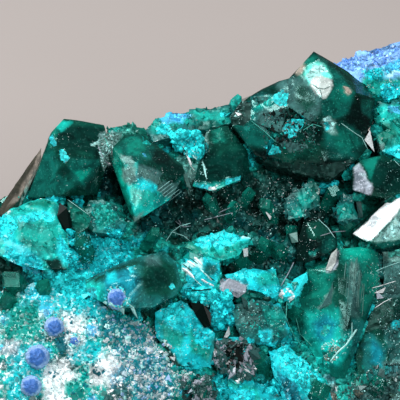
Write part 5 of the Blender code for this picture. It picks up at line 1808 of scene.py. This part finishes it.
def add_plate(bm, tree, corners):
    """Stand a thin plate on what the picture frame shows. Gives the number of its vertices."""
    found = [sight(tree, x, y) for x, y in corners]
    if None in [one[0] for one in found]:
        return 0
    nearest = min(one[2] for one in found)
    top, lower = [], []
    for place, _, distance, toward in found:
        nearer = min(distance, nearest + PLATE_FALL) - PLATE_LIFT
        top.append(place + toward * (nearer - distance))
        lower.append(place + toward * PLATE_LIFT)
    made = [bm.verts.new(spot) for spot in top + lower]
    count = len(found)
    bm.faces.new(made[:count])
    bm.faces.new(made[count:][::-1])
    for corner in range(count):
        after = (corner + 1) % count
        bm.faces.new((made[corner], made[corner + count], made[after + count], made[after]))
    return len(made)


def striations():
    """Parallel growth lines on the centre crystal and the large upright one, as colour, width, corners."""
    rows = []
    for step in range(6):
        x, y = 157.5 + 2.2 * step, 190.5 + 2.2 * step
        rows.append(("ice", 0.035, [(x, y), (x + 13, y - 10)]))
    for step in range(9):
        x, y = 139 + 2.5 * step, 166 + 1.3 * step
        rows.append(("grey green", 0.05, [(x, y), (x + 2.5, y + 9)]))
    draw = random.Random(8)
    for step in range(14):
        x = 346 + 1.4 * step
        top = draw.uniform(255, 285)
        width = draw.uniform(0.03, 0.07)
        rows.append(("grey green", width, [(x, top), (x - 2, top + draw.uniform(15, 40))]))
    return rows


# Heaps of crust that stand out between crystals: colour, number, width in mm, distance of their
# front from the eye in mm, corners
HEAPS = [
    "bright cyan 90 0.9 176.3 174,137 186,133 199,135 204,145 201,155 193,156 184,150 176,146",
    "bright cyan 130 0.8 167 184,292 206,290 227,292 230,304 212,308 206,303 190,300",
    "cyan 90 0.8 167 211,306 230,303 231,320 222,330 212,328",
]


GRAINS_A_CRYSTAL = 320
CLEFT_TRIES = 9000
CLEFT_DEPTH = 0.5 * MM
# How lumps in the clefts stand: towards the viewer and up
CLEFT_UP = (0.0, -0.5, 0.8)
# The corner of the picture frame, in pixels, that stays free for the brown plate
FREE_CORNER = (16, 216)


class DIOPTASE_OT_grains(bpy.types.Operator):
    """Scatter chips of crust on the rock, and loose grains, thin plates, fibres, painted glints and
    painted shade plates on the crystals
    """

    bl_idname = "dioptase.grains"
    bl_label = "Chips and grains"

    def execute(self, context):
        sizes = context.scene.dioptase_grains
        draw = np.random.default_rng(21)
        rock = bpy.data.objects["crusted_rock"].data
        points, normals = places_of(rock), normals_of(rock)
        tints = painted_colours(rock, "body")
        weights = np.clip(normals[:, 2] + 0.3, 0, 1) * np.where(shown(points, 16.5), 1.0, 0.25)
        weights *= points[:, 2] > 3 * MM
        weights *= (picture(points) > FREE_CORNER).any(1)
        crust = bpy.data.materials[CRUST_FINISH]
        places, ways, near = spots_on(rock, weights, sizes.chips, draw)
        widths = draw.lognormal(math.log(0.24), 0.45, sizes.chips) * MM
        mesh = stones("crust_chips", places, ways, widths, tints[near] * 1.2, draw)
        put_in_scene("crust_chips", mesh, grain_material("chrysocolla chips", 0.4), "crusted_rock")
        places, ways, near = spots_on(rock, weights, sizes.lumps, draw)
        widths = draw.lognormal(math.log(0.75), 0.3, sizes.lumps) * MM
        mesh = stones("crust_lumps", places, ways, widths, tints[near], draw, shape=lump_shape())
        put_in_scene("crust_lumps", mesh, crust, "crusted_rock")
        self.overgrown(draw)
        tree = dressed_tree()
        self.wedged(tree, crust, draw)
        self.heaped(tree, crust, draw)
        tree = dressed_tree()
        put_in_scene("blue_balls", ball_mesh(tree), ball_material(), "quartz")
        self.loose(tree, draw)
        self.slivers_and_painted_light(tree)
        return {"FINISHED"}

    def overgrown(self, draw):
        """Grow small grains of their own colour on the cloudy crystals, most where crust coats them."""
        places, ways, tints = [], [], []
        for name in [name for name, slot in SLOTS.items() if slot == "teal"]:
            mesh = bpy.data.objects[name + "_faces"].data
            body, coat = painted_colours(mesh, "body"), painted_colours(mesh, "coat")
            points = places_of(mesh)
            weights = 0.15 + body[:, 3] * 0.3 + coat[:, 3] + np.clip(cloud(points, 1.2 * MM, 6.0), 0, 1)
            weights *= np.where(shown(points), 1.0, 0.1)
            found = spots_on(mesh, weights, GRAINS_A_CRYSTAL, draw)
            places.append(found[0])
            ways.append(found[1])
            coated = coat[found[2], 3:]
            tints.append(body[found[2]] * (1 - coated) + coat[found[2]] * coated)
        places, ways, tints = np.concatenate(places), np.concatenate(ways), np.concatenate(tints)
        widths = draw.lognormal(math.log(0.24), 0.45, len(places)) * MM
        mesh = stones("overgrowth", places, ways, widths, tints * 1.1, draw, tall=0.8)
        put_in_scene("overgrowth", mesh, grain_material("cloudy grains", 0.3), "teal")

    def wedged(self, tree, crust, draw):
        """Wedge lumps of crust in the narrow clefts between the crystals."""
        places, widths = [], []
        for _ in range(CLEFT_TRIES):
            x, y = draw.uniform(0, PICTURE_PIXELS, 2)
            reach = draw.uniform(2.5, 8)
            middle = sight(tree, x, y)
            for step_x, step_y in ((reach, 0), (0, reach)):
                sides = [sight(tree, x + step_x, y + step_y)[2], sight(tree, x - step_x, y - step_y)[2]]
                if middle[2] and None not in sides and middle[2] - max(sides) > CLEFT_DEPTH:
                    eye = middle[0] - middle[3] * middle[2]
                    places.append(eye + middle[3] * (max(sides) + 0.1 * reach * MM))
                    widths.append(2.2 * reach * PIXEL * MM)
                    break
        places, widths = np.array(places), np.array(widths)
        keep = draw.uniform(0, 1, len(places)) < 0.5
        places, widths = places[keep], widths[keep]
        ways = np.tile(CLEFT_UP, (len(places), 1))
        tints = crust_paint(places, ways)
        mesh = stones("wedged_lumps", places, ways, widths, tints, draw, tall=0.6, shape=lump_shape())
        put_in_scene("wedged_lumps", mesh, crust, "crusted_rock")

    def heaped(self, tree, crust, draw):
        """Heap lumps of crust from what is seen at their place up to their front."""
        places, widths, tints = [], [], []
        for colour, count, width, front, corners in map(parts_of, HEAPS):
            spots = draw.uniform(np.min(corners, 0), np.max(corners, 0), (int(count) * 3, 2))
            for x, y in spots[outline_distance(spots, corners) < 0][:int(count)]:
                place, _, distance, toward = sight(tree, x, y)
                nearer = front * MM + draw.uniform(0, 1) * max(distance - front * MM, 0)
                places.append(place + toward * (nearer - distance))
                widths.append(width * draw.uniform(0.7, 1.2) * MM)
                tints.append(tone(colour))
        ways = np.tile(CLEFT_UP, (len(places), 1))
        mesh = stones("crust_heaps", np.array(places), ways, np.array(widths), np.array(tints), draw,
                      tall=0.6, shape=lump_shape(), darkest=0.9)
        put_in_scene("crust_heaps", mesh, crust, "crusted_rock")

    def loose(self, tree, draw):
        """Lay grains on what the picture frame shows, and rings of them round the blue balls."""
        places, ways, widths, tints = [], [], [], []
        turns = [math.tau * step / 12 for step in range(12)]
        rows = [parts_of(row) for row in GRAINS]
        for x, y, radius in BALLS:
            reach = radius / PIXEL + 3.5
            corners = [(x + reach * math.cos(turn), y + reach * math.sin(turn)) for turn in turns]
            rows.append(("ice", 14 * reach, 0.14, corners))
            rows.append(("bright cyan", 12 * reach, 0.14, corners))
        for colour, count, width, corners in rows:
            count = int(count)
            spots = draw.uniform(np.min(corners, 0), np.max(corners, 0), (count * 4, 2))
            inside = spots[outline_distance(spots, corners) < 0]
            clumps = np.array([noise.noise((x / 6, y / 6, width * 90)) for x, y in inside])
            for x, y in inside[np.argsort(-clumps - draw.uniform(0, 0.8, len(inside)))][:count]:
                place, normal, _, _ = sight(tree, x, y)
                if place:
                    places.append(place)
                    ways.append(normal)
                    widths.append(width * draw.lognormal(0, 0.35) * MM)
                    tints.append(tone(colour))
        mesh = stones("loose_grains", np.array(places), np.array(ways), np.array(widths), np.array(tints),
                      draw, tall=0.9)
        put_in_scene("loose_grains", mesh, grain_material("quartz dust", 0.35), "quartz")

    def slivers_and_painted_light(self, tree):
        """Lay the thin lines and plates on what the picture frame shows, painted highlights and painted
        shade among them.
        """
        bm = bmesh.new()
        colours = []
        for colour, width, corners in [*map(parts_of, LINES), *striations()]:
            colours += [tone(colour)] * add_line(bm, tree, width * MM / 2, corners)
        for colour, corners in map(parts_of, FLAKES_AND_PAINTED_LIGHT):
            colours += [tone(colour)] * add_plate(bm, tree, corners)
        bmesh.ops.recalc_face_normals(bm, faces=bm.faces)
        mesh = bpy.data.meshes.new("slivers_and_painted_light")
        bm.to_mesh(mesh)
        bm.free()
        move_to(mesh, places_of(mesh))
        paint(mesh, "body", np.array(colours))
        put_in_scene("slivers_and_painted_light", mesh, grain_material("quartz slivers", 0.3, 0.12), "quartz")


# The stage

# Crystal faces that mirror a small light, as pixels of the picture frame
GLINTS = [(372, 222), (320, 84), (287, 295)]
GLINT_DISTANCE = 0.35
GLINT_SIZE = 0.03
MIDDLE = (0, 0, 0.015)
FLOOR_HALF = 2.0


def area_light(name, place, aim, size, power):
    """A soft square light at a place, turned towards another."""
    data = bpy.data.lights.new(name, "AREA")
    data.size = size
    data.energy = power
    light = bpy.data.objects.new(name, data)
    light.location = place
    light.rotation_euler = (Vector(aim) - Vector(place)).to_track_quat("-Z", "Y").to_euler()
    bpy.context.scene.collection.objects.link(light)


def mirror_light(number, tree, x, y, power):
    """A small light placed so that the crystal face at a place in the picture mirrors it."""
    place, normal, _, toward = sight(tree, x, y)
    light_place = place + toward.reflect(normal) * GLINT_DISTANCE
    area_light(f"glint {number}", light_place, place, GLINT_SIZE, power)


class DIOPTASE_OT_stage(bpy.types.Operator):
    """Add the floor, the soft studio light and the camera"""

    bl_idname = "dioptase.stage"
    bl_label = "Stage"

    def execute(self, context):
        sizes = context.scene.dioptase_light
        scene = context.scene
        bm = bmesh.new()
        bmesh.ops.create_grid(bm, x_segments=8, y_segments=8, size=FLOOR_HALF)
        mesh = bpy.data.meshes.new("floor")
        bm.to_mesh(mesh)
        bm.free()
        floor = bpy.data.objects.new("floor", mesh)
        scene.collection.objects.link(floor)
        mesh.materials.append(floor_material(to_linear(sizes.floor_color)))
        world = bpy.data.worlds.new("studio")
        world.use_nodes = True
        back = world.node_tree.nodes["Background"]
        back.inputs["Color"].default_value = (0.9, 0.92, 1.0, 1)
        back.inputs["Strength"].default_value = sizes.world_strength
        scene.world = world
        area_light("key", (-0.20, 0.06, 0.42), MIDDLE, 0.22, sizes.key_power)
        area_light("fill", (0.12, -0.40, 0.30), MIDDLE, 0.20, sizes.fill_power)
        solids = sight_tree([frame["nodes"][name].data for name in SLOTS])
        for number, (x, y) in enumerate(GLINTS):
            mirror_light(number, solids, x, y, sizes.glint_power)
        data = bpy.data.cameras.new("camera")
        data.sensor_width = SENSOR
        data.lens = SENSOR * VIEW_DISTANCE / VIEW_WIDTH
        data.clip_start = 0.01
        camera = bpy.data.objects.new("camera", data)
        camera.location = seen(0, 0, -VIEW_DISTANCE) * MM
        aim = seen(0, 0, 0) * MM - camera.location
        camera.rotation_euler = aim.to_track_quat("-Z", "Y").to_euler()
        scene.collection.objects.link(camera)
        scene.camera = camera
        scene.view_settings.view_transform = "Standard"
        return {"FINISHED"}


class DIOPTASE_PT_panel(bpy.types.Panel):
    """The specimen's pieces and their sizes"""

    bl_idname = "DIOPTASE_PT_panel"
    bl_label = "Dioptase specimen"
    bl_space_type = "VIEW_3D"
    bl_region_type = "UI"
    bl_category = "Dioptase"

    def draw(self, context):
        for group, operators in PIECES:
            box = self.layout.box()
            settings = getattr(context.scene, group)
            for prop in settings.bl_rna.properties:
                if not prop.is_readonly and prop.identifier != "name":
                    box.prop(settings, prop.identifier)
            for operator in operators:
                box.operator(operator.bl_idname)


PIECES = [
    ("dioptase_crystals", (DIOPTASE_OT_crystals, DIOPTASE_OT_small_crystals)),
    ("dioptase_crust", (DIOPTASE_OT_rock,)),
    ("dioptase_druse", (DIOPTASE_OT_druse,)),
    ("dioptase_grains", (DIOPTASE_OT_grains,)),
    ("dioptase_light", (DIOPTASE_OT_stage,)),
]
SETTINGS = {
    "dioptase_crystals": CrystalSizes,
    "dioptase_crust": CrustSizes,
    "dioptase_druse": DruseSizes,
    "dioptase_grains": GrainSizes,
    "dioptase_light": LightSizes,
}


def register():
    for group in SETTINGS.values():
        bpy.utils.register_class(group)
    for name, group in SETTINGS.items():
        setattr(bpy.types.Scene, name, bpy.props.PointerProperty(type=group))
    for _, operators in PIECES:
        for operator in operators:
            bpy.utils.register_class(operator)
    bpy.utils.register_class(DIOPTASE_PT_panel)


def unregister():
    bpy.utils.unregister_class(DIOPTASE_PT_panel)
    for _, operators in PIECES:
        for operator in operators:
            bpy.utils.unregister_class(operator)
    for name, group in SETTINGS.items():
        delattr(bpy.types.Scene, name)
        bpy.utils.unregister_class(group)


def main():
    register()
    for _, operators in PIECES:
        for operator in operators:
            family, action = operator.bl_idname.split(".")
            getattr(getattr(bpy.ops, family), action)()


if __name__ == "__main__":
    main()
